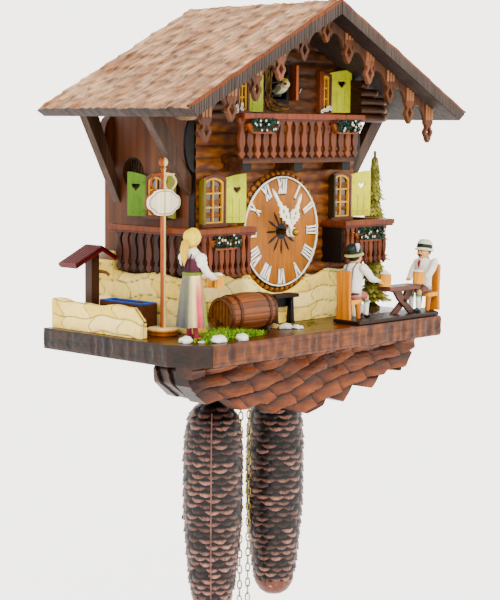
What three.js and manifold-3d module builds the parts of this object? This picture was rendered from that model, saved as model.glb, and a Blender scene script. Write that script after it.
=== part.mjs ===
// Black Forest chalet cuckoo clock, eight-day movement with two cone weights.
// Millimetres, +Z up.  Origin: middle of the wall face at the height of the shelf's top.
// The clock faces -Y, its back lies in the plane y = 0, and x = 0 is its centre line.

import * as THREE from "three";
import { mergeVertices } from "three/addons/utils/BufferGeometryUtils.js";
import Module from "manifold-3d";

const wasm = await Module();
wasm.setup();

// ---------------------------------------------------------------- driving dimensions
const GAP = 0.3;

const HOUSE_HALF = 95;
const WALL = 6;
const FRONT = -103;
const BACK_PANEL = 5;
const SHELF_HALF = 160;
const SHELF_DEPTH = 168;
const SHELF_THICK = 16.4;
const SHELF_CHAMFER = [21, 28];

const RIDGE = 246.5;
const SLOPE = 0.51;
const EAVE_HALF = 167;
const ROOF_RISE = 12.5;
const ROOF_DEPTH = 169;

const DIAL = { z: 75, rim: 49, thick: 4.7, face: -108 };
const CHAIN = { load: 38, free: 5, y: -69, wheelZ: 40, wire: 1.6, end: -262 };
const TRAVEL = 130;
const WEIGHT = { radius: 25, length: 179, top: -62 };
const BALCONY = { rail: 169.6, front: -133.7, left: -76, right: 69, half: 71.6, foot: 135 };
const LOWER = { rail: 82, foot: 45.5, front: -131, inner: 54, outer: 119, rear: -31 };
const FRET = { front: -154, thick: 6 };
const DOOR = { left: -10, right: 9, bottom: 181, top: 208, hingeX: 11.4, hingeY: -104.6, open: 60 };
const PENDULUM = { pivotZ: 66, y: -26, leafZ: -162 };
const EAR = { z: 145.5, tall: 21.5, out: 10 };
const WHEEL_X = (CHAIN.load + CHAIN.free) / 2;
const PLATFORM = 3.3;
const SEAT = 19.5;
const SHOULDER = 48;
const TABLE_TOP = 27.7;
const CHAIR_TOP = 43.5;
const MUG = { radius: 5.2, foot: 28.4 };
const CORBEL_REACH = 118;

const roofUnder = (x) => RIDGE - SLOPE * Math.abs(x);

// ---------------------------------------------------------------- colours
const COLOURS = {
  walnut: [0x5b2f1c, 0.55, 0],
  wall: [0x4a2618, 0.6, 0],
  rail: [0xa8592c, 0.5, 0],
  roof: [0xc89678, 0.7, 0],
  shelf: [0x8a4a26, 0.4, 0],
  fret: [0x9c6a4a, 0.6, 0],
  white: [0xf2eddc, 0.5, 0],
  cream: [0xe3cf98, 0.7, 0],
  black: [0x1a1512, 0.6, 0],
  cone: [0x3a2420, 0.55, 0.2],
  brass: [0xc8a050, 0.3, 1],
  steel: [0x9a9a98, 0.35, 1],
  green: [0x6f8a3a, 0.7, 0],
  red: [0xa02a2a, 0.6, 0],
  yellow: [0xe0b050, 0.6, 0],
  plum: [0x7a4a55, 0.7, 0],
  stone: [0xe8d49a, 0.75, 0],
};

const part = new THREE.Group();

// ---------------------------------------------------------------- solid helpers
function solid(geometry) {
  const bare = geometry.index ? geometry.toNonIndexed() : geometry.clone();
  bare.deleteAttribute("normal");
  bare.deleteAttribute("uv");
  const merged = mergeVertices(bare, 1e-3);
  const mesh = new wasm.Mesh({
    numProp: 3,
    vertProperties: new Float32Array(merged.attributes.position.array),
    triVerts: new Uint32Array(merged.index.array),
  });
  return new wasm.Manifold(mesh);
}

function add(name, shape, colour) {
  const data = shape.getMesh();
  const geometry = new THREE.BufferGeometry();
  geometry.setAttribute("position", new THREE.BufferAttribute(data.vertProperties, 3));
  geometry.setIndex(new THREE.BufferAttribute(data.triVerts, 1));
  geometry.computeVertexNormals();
  const [color, roughness, metalness] = COLOURS[colour];
  const mesh = new THREE.Mesh(geometry, new THREE.MeshStandardMaterial({ color, roughness, metalness }));
  mesh.name = name;
  part.add(mesh);
  return mesh;
}

function union(shapes) {
  return shapes.reduce((sum, shape) => sum.add(shape));
}

function box(x0, x1, y0, y1, z0, z1) {
  const size = [Math.abs(x1 - x0), Math.abs(y1 - y0), Math.abs(z1 - z0)];
  const geometry = new THREE.BoxGeometry(...size);
  geometry.translate((x0 + x1) / 2, (y0 + y1) / 2, (z0 + z1) / 2);
  return solid(geometry);
}

function shapeOf(points) {
  return new THREE.Shape(points.map(([u, v]) => new THREE.Vector2(u, v)));
}

function extrude(shape, depth, curveSegments = 8) {
  return new THREE.ExtrudeGeometry(shape, { depth, bevelEnabled: false, curveSegments });
}

// outline in X and Z, from y = back towards the front
function boardXZ(outline, back, thick, curveSegments) {
  const shape = Array.isArray(outline) ? shapeOf(outline) : outline;
  const geometry = extrude(shape, thick, curveSegments);
  geometry.rotateX(Math.PI / 2);
  geometry.translate(0, back, 0);
  return solid(geometry);
}

// outline in Y and Z, from x = start towards +X
function boardYZ(outline, start, thick, curveSegments) {
  const shape = Array.isArray(outline) ? shapeOf(outline) : outline;
  const geometry = extrude(shape, thick, curveSegments);
  const axes = [new THREE.Vector3(0, 1, 0), new THREE.Vector3(0, 0, 1), new THREE.Vector3(1, 0, 0)];
  geometry.applyMatrix4(new THREE.Matrix4().makeBasis(...axes));
  geometry.translate(start, 0, 0);
  return solid(geometry);
}

// outline in X and Y, from z = bottom upwards
function boardXY(outline, bottom, thick, curveSegments) {
  const shape = Array.isArray(outline) ? shapeOf(outline) : outline;
  const geometry = extrude(shape, thick, curveSegments);
  geometry.translate(0, 0, bottom);
  return solid(geometry);
}

// round piece: profile of [radius, height], turned about a line through (x, y, z)
function turned(profile, x, y, z, axis = "z", segments = 16) {
  const points = profile.map(([r, h]) => new THREE.Vector2(r, h));
  const geometry = new THREE.LatheGeometry(points, segments);
  if (axis === "z") geometry.rotateX(Math.PI / 2);
  if (axis === "x") geometry.rotateZ(-Math.PI / 2);
  geometry.translate(x, y, z);
  return solid(geometry);
}

// a cylinder profile for turned()
function rod(radius, from, to) {
  return [[0, from], [radius, from], [radius, to], [0, to]];
}

function ball(radius, x, y, z, wide = 10, high = 8) {
  const profile = [];
  for (let i = 0; i <= high; i += 1) {
    const angle = -Math.PI / 2 + (Math.PI * i) / high;
    profile.push([i % high === 0 ? 0 : radius * Math.cos(angle), radius * Math.sin(angle)]);
  }
  return turned(profile, x, y, z, "z", wide);
}

function mirrored(shape) {
  return shape.mirror([1, 0, 0]);
}

// ---------------------------------------------------------------- case
function baseShelf() {
  const [cx, cy] = SHELF_CHAMFER;
  const notch = HOUSE_HALF - WALL + GAP + 0.5;
  const outline = [
    [-SHELF_HALF, 0], [-SHELF_HALF, cy - SHELF_DEPTH], [cx - SHELF_HALF, -SHELF_DEPTH],
    [SHELF_HALF - cx, -SHELF_DEPTH], [SHELF_HALF, cy - SHELF_DEPTH], [SHELF_HALF, 0],
    [notch, 0], [notch, -BACK_PANEL - GAP], [-notch, -BACK_PANEL - GAP], [-notch, 0],
  ];
  const plank = boardXY(outline, -SHELF_THICK, SHELF_THICK);
  return plank.subtract(box(-46, 46, -82, -16, -20, 4));
}

function apron() {
  // right half of the leaf edge, from the centre line outwards
  const half = [
    [0, -71], [17, -66], [24, -60], [42, -66], [55.7, -54], [78.4, -58.6], [98.6, -45.3],
    [120, -48.5], [136, -34], [131, -23],
  ];
  const top = -SHELF_THICK - GAP;
  const outline = [[131, top], [-131, top]];
  for (let i = half.length - 1; i > 0; i -= 1) outline.push([-half[i][0], half[i][1]]);
  outline.push(...half);
  const front = boardXZ(outline, -125, 18);
  const cheekOutline = [[131, top], [131, -23], [136, -34], [120, -48.5], [110, -47], [112, top]];
  const cheek = boardXZ(cheekOutline, -100, 26);
  return union([front, cheek, mirrored(cheek)]);
}

function backPanel() {
  const half = HOUSE_HALF - WALL - GAP;
  const under = 3;
  const outline = [
    [-half, -SHELF_THICK], [half, -SHELF_THICK], [half, roofUnder(half) - under],
    [0, RIDGE - under], [-half, roofUnder(half) - under],
  ];
  const panel = boardXZ(outline, 0, BACK_PANEL);
  const keyhole = turned(rod(5, -8, 8), 0, -2, 214, "y", 16);
  const slot = box(-2, 2, -8, 3, 214, 225);
  return panel.subtract(keyhole).subtract(slot);
}

function sideWall() {
  const top = roofUnder(HOUSE_HALF) - GAP;
  const wall = box(-HOUSE_HALF, -HOUSE_HALF + WALL, 0, FRONT + WALL + GAP, GAP, top);
  const soundHole = turned(rod(11, -8, 8), -HOUSE_HALF + WALL / 2, -33.6, 122, "x", 20);
  return wall.subtract(soundHole).add(ear(-2, 8));
}

function frontWall() {
  const outline = [
    [-HOUSE_HALF, GAP], [HOUSE_HALF, GAP], [HOUSE_HALF, roofUnder(HOUSE_HALF) - GAP],
    [0, RIDGE - GAP], [-HOUSE_HALF, roofUnder(HOUSE_HALF) - GAP],
  ];
  const wall = boardXZ(outline, FRONT + WALL, WALL);
  const doorway = box(DOOR.left, DOOR.right, -110, -90, DOOR.bottom, DOOR.top);
  const arborHole = turned(rod(7, -12, 12), 0, -100, DIAL.z, "y", 16);
  const corner = ear(-100.6, -100.6 - FRONT);
  return wall.subtract(doorway).subtract(arborHole).add(corner).add(mirrored(corner));
}

function roofPanel() {
  const outline = [
    [-GAP / 2, RIDGE + SLOPE * (-GAP / 2)], [-GAP / 2, RIDGE + ROOF_RISE],
    [-EAVE_HALF, roofUnder(EAVE_HALF) + ROOF_RISE], [-EAVE_HALF + 9, roofUnder(EAVE_HALF - 9)],
  ];
  return boardXZ(outline, 0, ROOF_DEPTH);
}

function bargeboard() {
  // one hanging board per pitch, with a diamond cut-out and a pointed tip
  const pitch = 26.8;
  const half = 6.4;
  const bodies = [];
  const strip = [];
  const xs = [-GAP / 2, -EAVE_HALF + 20];
  for (const x of xs) strip.push([x, roofUnder(x) - GAP]);
  for (const x of [...xs].reverse()) strip.push([x, roofUnder(x) - 9]);
  bodies.push(boardXZ(strip.reverse(), FRET.front + FRET.thick, FRET.thick));
  for (let i = 1; i <= 5; i += 1) {
    bodies.push(pendant(-pitch * i, half));
  }
  return union(bodies);
}

function pendant(x, half) {
  const top = roofUnder(x) - 5;
  const foot = roofUnder(x) - 30;
  const neck = half - 1.6;
  const outline = [
    [x - half, top + (x < 0 ? -2 : 2)], [x - half, foot + 14], [x - neck, foot + 12],
    [x - half - 0.6, foot + 7], [x - neck, foot + 3], [x, foot - 2],
    [x + neck, foot + 3], [x + half + 0.6, foot + 7],
    [x + neck, foot + 12], [x + half, foot + 14], [x + half, top + (x < 0 ? 2 : -2)],
  ];
  const board = boardXZ(outline, FRET.front + FRET.thick, FRET.thick);
  const hole = [[x - 2.4, foot + 8], [x, foot + 4], [x + 2.4, foot + 8], [x, foot + 12]];
  return board.subtract(boardXZ(hole, FRET.front + FRET.thick + 2, FRET.thick + 4));
}

function apexPendant() {
  // the right board also carries the pendant at the apex, cut clear of the left board
  const top = RIDGE - 9 - GAP;
  const foot = RIDGE - 33;
  const outline = [
    [-6, top], [-6, foot + 14], [-4.6, foot + 12], [-6.6, foot + 7], [-4.6, foot + 3], [0, foot - 2],
    [4.6, foot + 3], [6.6, foot + 7], [4.6, foot + 12], [6, foot + 14], [6, top],
  ];
  const board = boardXZ(outline, FRET.front + FRET.thick, FRET.thick);
  const hole = [[-2.4, foot + 8], [0, foot + 4], [2.4, foot + 8], [0, foot + 12]];
  const clear = box(-8, -GAP / 2 + 0.15, -160, -140, RIDGE - 9.6 - 6 * SLOPE, RIDGE);
  return board.subtract(boardXZ(hole, FRET.front + 8, FRET.thick + 4)).subtract(clear);
}

function corbels() {
  // log ends, stepped out under the roof from the corner of the house
  const inner = 82;
  const pitch = 7;
  const back = FRONT - GAP;
  const bodies = [];
  for (let z = 167; z <= 195; z += pitch) {
    const tip = Math.min((RIDGE - z - 5) / SLOPE, CORBEL_REACH);
    bodies.push(box(-tip, -inner, back, back - 20, z - pitch / 2, z + pitch / 2 + 0.2));
  }
  return union(bodies);
}

// diagonal plank parallel to the front, from the house corner out to the eave
function brace(back, foot, reach) {
  const wallX = -HOUSE_HALF - GAP;
  const wide = 11.7;
  const outline = [
    [wallX, foot], [wallX, foot + 15],
    [wide - reach, roofUnder(reach - wide) - GAP], [-reach, roofUnder(reach) - GAP],
  ];
  return boardXZ(outline, back, 8);
}

// rounded ear on the edge of the house, under the eave
function ear(back, thick) {
  const { z, tall, out } = EAR;
  const outline = [[-HOUSE_HALF + 2, z + tall], [-HOUSE_HALF + 2, z - tall]];
  for (let i = 0; i <= 12; i += 1) {
    const angle = (Math.PI * i) / 12;
    outline.push([-HOUSE_HALF - out * Math.sin(angle), z - tall * Math.cos(angle)]);
  }
  return boardXZ(outline, back, thick);
}

// ---------------------------------------------------------------- balconies and windows
// one baluster outline hanging from the rail at u, between foot and rail heights
function baluster(u, foot, rail, wide) {
  const tall = rail - foot;
  const at = (du, f) => [u + du * wide, foot + f * tall];
  const right = [[0.44, 0.1], [0.28, 0.38], [0.44, 0.78]];
  const left = right.map(([du, f]) => [-du, f]).reverse();
  return [at(0, 0), ...right.map(([du, f]) => at(du, f)), at(0.28, 1.04), at(-0.28, 1.04),
    ...left.map(([du, f]) => at(du, f))];
}

function balustrade(from, to, foot, rail, count, board) {
  const pitch = (to - from) / count;
  const bodies = [];
  for (let i = 0; i < count; i += 1) {
    bodies.push(board(baluster(from + pitch * (i + 0.5), foot, rail - 4, pitch)));
  }
  const beam = foot + (rail - foot) * 0.1;
  bodies.push(board([[from, beam], [to, beam], [to, beam + 2], [from, beam + 2]]));
  return bodies;
}

function upperBalustrade() {
  const { rail, front, left, right, foot } = BALCONY;
  const frontBoard = (outline) => boardXZ(outline, front + 6, 3);
  const bodies = balustrade(left, right, foot, rail, 16, frontBoard);
  bodies.push(box(left + 4, right + 5, front, front + 8, rail - 4.4, rail));
  return union(bodies);
}

function upperFloor() {
  const half = BALCONY.half - 4.5;
  const slab = box(-half, half, FRONT - GAP, BALCONY.front + 6.4, 131, 136);
  const joist = (x) => box(x - 5, x + 5, FRONT - GAP, BALCONY.front + 9, 124.5, 131.4);
  return union([slab, joist(-60), joist(0), joist(60)]);
}

function lowerBalcony() {
  const { rail, foot, front, inner, outer, rear } = LOWER;
  const wallSide = -HOUSE_HALF - GAP;
  const frontBoard = (outline) => boardXZ(outline, front + 5, 2.6);
  const sideBoard = (outline) => boardYZ(outline, -outer + 7, 2.6);
  const bodies = [
    ...balustrade(-outer + 8, -inner - 2, foot, rail, 9, frontBoard),
    ...balustrade(front + 4, rear - 1, foot, rail, 11, sideBoard),
  ];
  const plan = [
    [-inner, FRONT - GAP], [-inner, front], [-outer, front], [-outer, rear], [wallSide, rear],
    [wallSide, FRONT - GAP],
  ];
  bodies.push(boardXY(plan, rail - 4, 4));
  return union(bodies);
}

function lowerWindow() {
  const left = -90.1;
  const right = -63.6;
  const sill = 83;
  const spring = 116;
  const middle = (left + right) / 2;
  const frame = new THREE.Shape();
  frame.moveTo(left, sill);
  frame.lineTo(right, sill);
  frame.lineTo(right, spring);
  frame.quadraticCurveTo(middle, spring + 12, left, spring);
  const body = boardXZ(frame, FRONT - GAP, 3.7, 6);
  const panes = [];
  const w = 7.4;
  const h = 8.2;
  for (const x of [middle - w - 0.9, middle + 0.9]) {
    for (let i = 0; i < 3; i += 1) {
      const z = sill + 4 + i * (h + 1.8);
      panes.push(box(x, x + w, FRONT - 2.4, FRONT - 8, z, z + h));
    }
  }
  return panes.reduce((sum, pane) => sum.subtract(pane), body);
}

// ---------------------------------------------------------------- dial and hands
function dial() {
  const lobes = 24;
  const points = [];
  const steps = lobes * 4;
  for (let i = 0; i < steps; i += 1) {
    const angle = (2 * Math.PI * i) / steps;
    const radius = DIAL.rim - 1.6 * (0.5 - 0.5 * Math.abs(Math.cos((lobes * angle) / 2)));
    points.push([radius * Math.cos(angle), DIAL.z + radius * Math.sin(angle)]);
  }
  const disc = boardXZ(points, FRONT - GAP, DIAL.thick);
  return disc.subtract(turned(rod(5, -12, 12), 0, -104, DIAL.z, "y", 16));
}

// carved hand pointing up along +Z before it is turned; y is its rear face
function hand(length, y, hub) {
  const shape = new THREE.Shape();
  shape.moveTo(-1.2, 0);
  shape.lineTo(-1.4, length * 0.3);
  shape.quadraticCurveTo(-5.4, length * 0.38, -3.6, length * 0.52);
  shape.quadraticCurveTo(-6.2, length * 0.62, -2.2, length * 0.72);
  shape.lineTo(0, length);
  shape.lineTo(2.2, length * 0.72);
  shape.quadraticCurveTo(6.2, length * 0.62, 3.6, length * 0.52);
  shape.quadraticCurveTo(5.4, length * 0.38, 1.4, length * 0.3);
  shape.lineTo(1.2, 0);
  const blade = boardXZ(shape, y, 1.4, 4);
  const hole = [[-1.6, length * 0.52], [0, length * 0.4], [1.6, length * 0.52], [0, length * 0.66]];
  const disc = turned(rod(hub, 0, 1.4), 0, y - 1.4, 0, "y", 16);
  return union([blade.subtract(boardXZ(hole, y + 2, 6)), disc]);
}

function placeHand(shape, degrees) {
  return shape.rotate([0, degrees, 0]).translate([0, 0, DIAL.z]);
}

function minuteHand() {
  const pointer = placeHand(hand(44, -120.6, 4.5), -36);
  const arbor = turned(rod(1.5, -124, -88), 0, 0, DIAL.z, "y", 12);
  const nut = turned(rod(3.6, -125, -122.4), 0, 0, DIAL.z, "y", 6);
  return union([pointer, arbor, nut]);
}

function hourHand() {
  const pointer = placeHand(hand(34, -116.4, 5), 24);
  const pipe = turned([[0, -117.4], [3.4, -117.4], [3.4, -100], [0, -100]], 0, 0, DIAL.z, "y", 14);
  const bore = turned(rod(1.8, -130, -90), 0, 0, DIAL.z, "y", 14);
  return union([pointer, pipe]).subtract(bore);
}

// ---------------------------------------------------------------- movement
const PLATE = { half: 40, bottom: 12, top: 96, front: -88, back: -52, thick: 1.6 };

function plate(y, holes) {
  let body = box(-PLATE.half, PLATE.half, y, y + PLATE.thick, PLATE.bottom, PLATE.top);
  for (const [x, z, r] of holes) body = body.subtract(turned(rod(r, -4, 4), x, y, z, "y", 12));
  return body;
}

function frontPlate() {
  const pivots = [[-WHEEL_X, CHAIN.wheelZ, 2.3], [WHEEL_X, CHAIN.wheelZ, 2.3], [0, 52, 1.6]];
  return plate(PLATE.front, [[0, DIAL.z, 4], ...pivots]);
}

function backPlate() {
  const y = PLATE.back;
  const holes = [
    [-WHEEL_X, CHAIN.wheelZ, 2.3], [WHEEL_X, CHAIN.wheelZ, 2.3], [0, 52, 1.6], [0, PENDULUM.pivotZ, 1.4],
  ];
  const bodies = [plate(y, holes)];
  for (const x of [-31, 31]) {
    for (const z of [17, 91]) {
      bodies.push(turned(rod(2.2, PLATE.front + PLATE.thick + GAP, y + 0.5), x, 0, z, "y", 10));
    }
  }
  return union(bodies);
}

function toothed(teeth, outer, inner, x, y, z, thick) {
  const points = [];
  for (let i = 0; i < teeth * 2; i += 1) {
    const angle = (Math.PI * i) / teeth;
    const radius = i % 2 === 0 ? outer : inner;
    points.push([x + radius * Math.cos(angle), z + radius * Math.sin(angle)]);
  }
  return boardXZ(points, y, thick);
}

function chainWheel(x) {
  const sprocket = toothed(16, 15, 13.4, x, CHAIN.y + 2, CHAIN.wheelZ, 4);
  const wheel = turned(rod(18.5, -80.4, -78.8), x, 0, CHAIN.wheelZ, "y", 32);
  const boss = turned(rod(4.4, -79, -66), x, 0, CHAIN.wheelZ, "y", 12);
  const arbor = turned(rod(1.9, -89.5, -49), x, 0, CHAIN.wheelZ, "y", 12);
  return union([sprocket, wheel, boss, arbor]);
}

function escapeWheel() {
  const wheel = toothed(30, 8.5, 7, 0, -57, 52, 1);
  return union([wheel, turned(rod(1.2, -89.5, -49), 0, 0, 52, "y", 10)]);
}

function verge() {
  // anchor over the escape wheel, with the crutch wire down to the pendulum
  const z = PENDULUM.pivotZ;
  const arch = [
    [-8, z - 11], [-6, z - 12], [-5, z - 3], [0, z - 1], [5, z - 3], [6, z - 12], [8, z - 11], [8, z + 1],
    [0, z + 3.5], [-8, z + 1],
  ];
  const anchor = boardXZ(arch, -59.2, 1.4);
  const arbor = turned(rod(1, -62, PENDULUM.y - 3), 0, 0, z, "y", 10);
  const crutch = box(-0.9, 0.9, PENDULUM.y - 5, PENDULUM.y - 3, z - 34, z);
  return union([anchor, arbor, crutch]);
}

function pendulum() {
  // flat wooden rod with a carved leaf for its bob
  const { y, pivotZ, leafZ } = PENDULUM;
  const stick = box(-2.2, 2.2, y - 1, y + 1, leafZ, pivotZ + 3);
  const half = [
    [0, -34], [9, -24], [21, -26], [18, -12], [31, -8],
    [22, 4], [28, 20], [14, 16], [6, 30], [0, 34],
  ];
  const outline = [...half, ...half.slice(1, -1).reverse().map(([u, v]) => [-u, v])];
  const leaf = boardXZ(outline.map(([u, v]) => [u, v + leafZ]), y + 2.4, 4.8);
  return union([stick, leaf]);
}

function bellows(x) {
  const pipe = box(x - 13, x + 13, -46, -8, 100.5, 152);
  return pipe.subtract(box(x - 9.5, x + 9.5, -42, -47, 104, 110));
}

function bellowsLid(x) {
  return box(x - 13, x + 13, -46, -8, 152.4, 156);
}

// ---------------------------------------------------------------- cuckoo
function cuckooDoor() {
  // one leaf hinged at the right jamb; it rests open and closes flat on the wall
  const { hingeX, hingeY, bottom, top, open } = DOOR;
  const leaf = box(-20.6, -0.6, 1, -1, bottom - 0.8, top + 0.8);
  const pin = turned(rod(0.8, bottom - 0.8, top + 0.8), -0.2, 0, 0, "z", 8);
  return union([leaf, pin]).rotate([0, 0, open]).translate([hingeX, hingeY, 0]);
}

function cuckooBird() {
  const [x, y, z] = [-2, -107, 189.5];
  const body = turned([[0, -8], [2.6, -6], [3.8, -1], [3.4, 5], [0, 9]], x, y, z, "y", 12);
  const head = ball(3.5, x - 0.5, y - 6, z + 3.6, 12, 8);
  const beak = turned([[0, -2], [1.3, -2], [0.8, 3], [0, 5.4]], 0, 0, 0, "x", 8);
  const tail = box(x - 2, x + 2, y + 6, y + 14, z - 1.4, z + 0.4);
  const arm = box(x - 1, x + 1, y - 1, -62, z - 6, z - 4);
  const post = box(x - 1, x + 1, y - 1, y + 1, z - 5, z);
  const turnedBeak = beak.rotate([0, 0, 210]).translate([x - 2.4, y - 7.6, z + 3.8]);
  return union([body, head, turnedBeak, tail, arm, post]);
}

// ---------------------------------------------------------------- weights and chains
function weight(side) {
  const { radius, length, top } = WEIGHT;
  const profile = [
    [0, -length], [9, -length + 2.5], [16.5, -length + 11], [19.5, -length + 23], [22.5, -length + 53],
    [radius, -92], [radius, -50], [24, -30], [21.5, -16], [16, -7], [7, -2], [0, 0],
  ];
  const cone = turned(profile, side * CHAIN.load, CHAIN.y, top, "z", 24);
  const hook = turned(rod(1.3, -1, 9), side * CHAIN.load, CHAIN.y, top, "z", 8);
  return union([cone, hook]);
}

function strand(x, bottom, top) {
  const points = [new THREE.Vector3(x, CHAIN.y, bottom), new THREE.Vector3(x, CHAIN.y, top)];
  const circle = new THREE.Shape();
  circle.absarc(0, 0, CHAIN.wire, 0, 2 * Math.PI);
  const path = new THREE.LineCurve3(...points);
  const geometry = new THREE.ExtrudeGeometry(circle, { steps: 10, curveSegments: 4, extrudePath: path });
  return solid(geometry);
}

function loadChain(side) {
  return strand(side * CHAIN.load, WEIGHT.top + 9.4, CHAIN.wheelZ + TRAVEL);
}

function freeChain(side) {
  const ring = new THREE.TorusGeometry(5, 1, 6, 16);
  ring.rotateY(Math.PI / 2);
  ring.translate(side * CHAIN.free, CHAIN.y, CHAIN.end - 5);
  return union([strand(side * CHAIN.free, CHAIN.end - 0.6, CHAIN.wheelZ), solid(ring)]);
}

// ---------------------------------------------------------------- stonework and garden
function stoneWall() {
  // low cream stonework round the foot of the house: front board and left return
  const rim = DIAL.rim + 0.6;
  const outline = [[-109, GAP], [93, GAP], [93, 26], [84, 40], [48, 37]];
  for (let i = 0; i <= 6; i += 1) {
    const angle = Math.PI * (0.22 + (0.56 * i) / 6);
    outline.push([rim * Math.cos(angle), DIAL.z - rim * Math.sin(angle)]);
  }
  outline.push([-48, 40], [-70, 44.5], [-109, 44.5]);
  const front = boardXZ(outline, FRONT - GAP, 6);
  const sideOutline = [[-109, GAP], [-1, GAP], [-1, 58], [-24.5, 59], [-26, 45], [-109, 44.5]];
  const side = boardYZ(sideOutline, -HOUSE_HALF - GAP - 12, 12);
  const inside = box(-HOUSE_HALF - GAP, 100, FRONT - GAP, 10, -1, 60);
  return union([front, side]).subtract(inside);
}

function lowWall() {
  const outline = [
    [-1, GAP], [-1, 23], [-14, 24], [-30, 22.6], [-46, 24],
    [-62, 22.2], [-80, 23.6], [-95, 22.6], [-105, 13], [-105, GAP],
  ];
  return boardYZ(outline.reverse(), -153, 8);
}

function fountain() {
  // post with a spout, under a small gable roof that leans against the house
  const [x, y] = [-129, -23];
  const post = box(x - 4, x + 4, y - 4, y + 4, GAP, 58);
  const gable = [[-155, 51], [-127, 65.5], [-112, 58.2], [-112, 54.5], [-127, 60], [-155, 47.5]];
  const roof = boardXZ(gable, y + 10, 20);
  const spout = turned(rod(1.5, 0, 11), 0, 0, 0, "z", 8).rotate([112, 0, 24]).translate([x + 2, y - 3, 42]);
  return union([post, roof, spout]);
}

function trough() {
  const outer = box(-127.5, -111.5, -30, -79, GAP, 23);
  return outer.subtract(box(-125, -114, -32.5, -76.5, 5, 30));
}

function signpost() {
  const [x, y] = [-122.5, -97];
  const board = [[x - 16, 92], [x + 16, 92], [x + 18, 101], [x + 14, 111], [x - 14, 111], [x - 18, 101]];
  const bodies = [
    turned([[0, GAP], [12, GAP], [12, 4.5], [10, 6], [0, 6]], x, y, 0, "z", 20),
    turned(rod(1.8, 5, 130), x, y, 0, "z", 10),
    ball(3.6, x, y, 132, 10, 8),
    box(x - 12, x + 12, y - 1.2, y + 1.2, 121.7, 124.3),
    boardXZ(board, y - 1.2, 2.4),
  ];
  return union(bodies);
}

function maiden() {
  const [x, y] = [-133, -139];
  const skirtShape = [[0, GAP], [10, GAP], [11.4, 5], [10, 22], [8, 42], [7.4, 48], [0, 48]];
  const skirt = turned(skirtShape, x, y, 0, "z", 14);
  const body = turned([[0, 47], [7.4, 47], [8, 56], [8, 64], [3, 70], [0, 70]], x, y, 0, "z", 12);
  const neck = turned(rod(2.4, 66, 73), x, y, 0, "z", 8);
  const head = ball(7, x, y, 79, 12, 8);
  const tail = turned([[0, 58], [2.2, 60], [2.8, 70], [2, 78], [0, 79]], x - 5, y + 6, 0, "z", 8);
  const bust = box(x - 8, x - 3, y + 3, y + 7, 66, 73);
  const arms = box(x - 2, x + 24, y - 11, y - 5, 48, 58);
  const elbow = box(x - 8, x + 2, y - 7, y + 2, 54, 63);
  return union([skirt, body, neck, head, tail, bust, arms, elbow]);
}

function barrel() {
  const profile = [];
  const half = 26;
  for (let i = 0; i <= 6; i += 1) {
    const t = -1 + i / 3;
    profile.push([15.5 - 3 * t * t, t * half]);
  }
  return turned([[0, -half], ...profile, [0, half]], -64, -127, 16, "x", 18);
}

function bench() {
  const bodies = [box(-20, 8, -110.2, -121, 21.5, 25)];
  for (const x of [-17, 2]) bodies.push(box(x, x + 3, -111, -120, GAP, 22));
  return union(bodies);
}

function table() {
  // trestle table on the thin platform that carries the drinkers
  const top = TABLE_TOP;
  const bodies = [
    boardXY([[33, -164], [140, -164], [156, -143], [156, -136], [33, -136]], GAP, PLATFORM - GAP),
    box(79, 120.5, -145, -159, top - 3, top),
  ];
  for (const lean of [-1, 1]) {
    const foot = 106 - 11 * lean;
    const head = 106 + 11 * lean;
    const plank = [
      [foot - 3, PLATFORM - 0.5], [foot + 3, PLATFORM - 0.5],
      [head + 3, top - 2], [head - 3, top - 2],
    ];
    bodies.push(boardXZ(plank, -149, 5));
  }
  return union(bodies);
}

function chair(backX, side, y) {
  // side is +1 when the seat lies towards +X from its back board
  const foot = PLATFORM + GAP;
  const deep = 17;
  const half = 7;
  const bodies = [
    box(backX, backX + side * 3, y - half, y + half, foot, CHAIR_TOP),
    box(backX, backX + side * deep, y - half, y + half, SEAT - 3, SEAT),
  ];
  const legX = backX + side * (deep - 2.5);
  for (const edge of [-1, 1]) {
    bodies.push(box(legX, legX + side * 2.5, y + edge * half, y + edge * (half - 2.5), foot, SEAT - 2));
  }
  return union(bodies);
}

function drinker(x, y, face) {
  // seated figure that looks towards +X when face is +1
  const shoulder = SHOULDER + 3;
  const knee = x + face * 9;
  const hips = box(x - face * 5, x + face * 6, y - 6.5, y + 6.5, SEAT + GAP, SEAT + 10);
  const chest = [[0, 24], [8, 24], [9, 34], [8, 40], [8, 47], [3.4, shoulder + 1], [0, shoulder + 1]];
  const torso = turned(chest, x, y, 0, "z", 12);
  const head = ball(6.6, x + face, y, 56, 12, 8);
  const hatShape = [[0, 57], [8.6, 57], [8.6, 59], [6.2, 60], [5.4, 67], [0, 68]];
  const hat = turned(hatShape, x + face, y, 0, "z", 14);
  const bodies = [hips, torso, head, hat];
  for (const side of [-1, 1]) {
    const legY = y + side * 3.6;
    bodies.push(box(x, knee, legY - 2.8, legY + 2.8, SEAT + GAP, SEAT + 6));
    bodies.push(box(knee - 2.4, knee + 2.4, legY - 2.6, legY + 2.6, PLATFORM + 1, SEAT + 5));
    const [shoeTop, shoeSole] = [PLATFORM + 4, PLATFORM + GAP];
    bodies.push(box(knee - 2.4 * face, knee + face * 4.5, legY - 2.6, legY + 2.6, shoeSole, shoeTop));
  }
  return union(bodies);
}

function drinkerArm(x, y, mugX, mugY) {
  // the arm nearest the viewer with its mug, turning at the shoulder
  const shoulder = SHOULDER;
  const hand = MUG.foot + 6;
  const half = mugX > x ? 2.4 : -2.4;
  const outline = [
    [x - half, shoulder + 2], [x - half, shoulder - 4], [mugX, hand - 3],
    [mugX, hand + 2], [x + half, shoulder + 2],
  ];
  const arm = boardXZ(outline, y, 4.4);
  const mug = turned(rod(MUG.radius, MUG.foot, MUG.foot + 12), mugX, mugY, 0, "z", 12);
  return union([arm, mug]);
}

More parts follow.
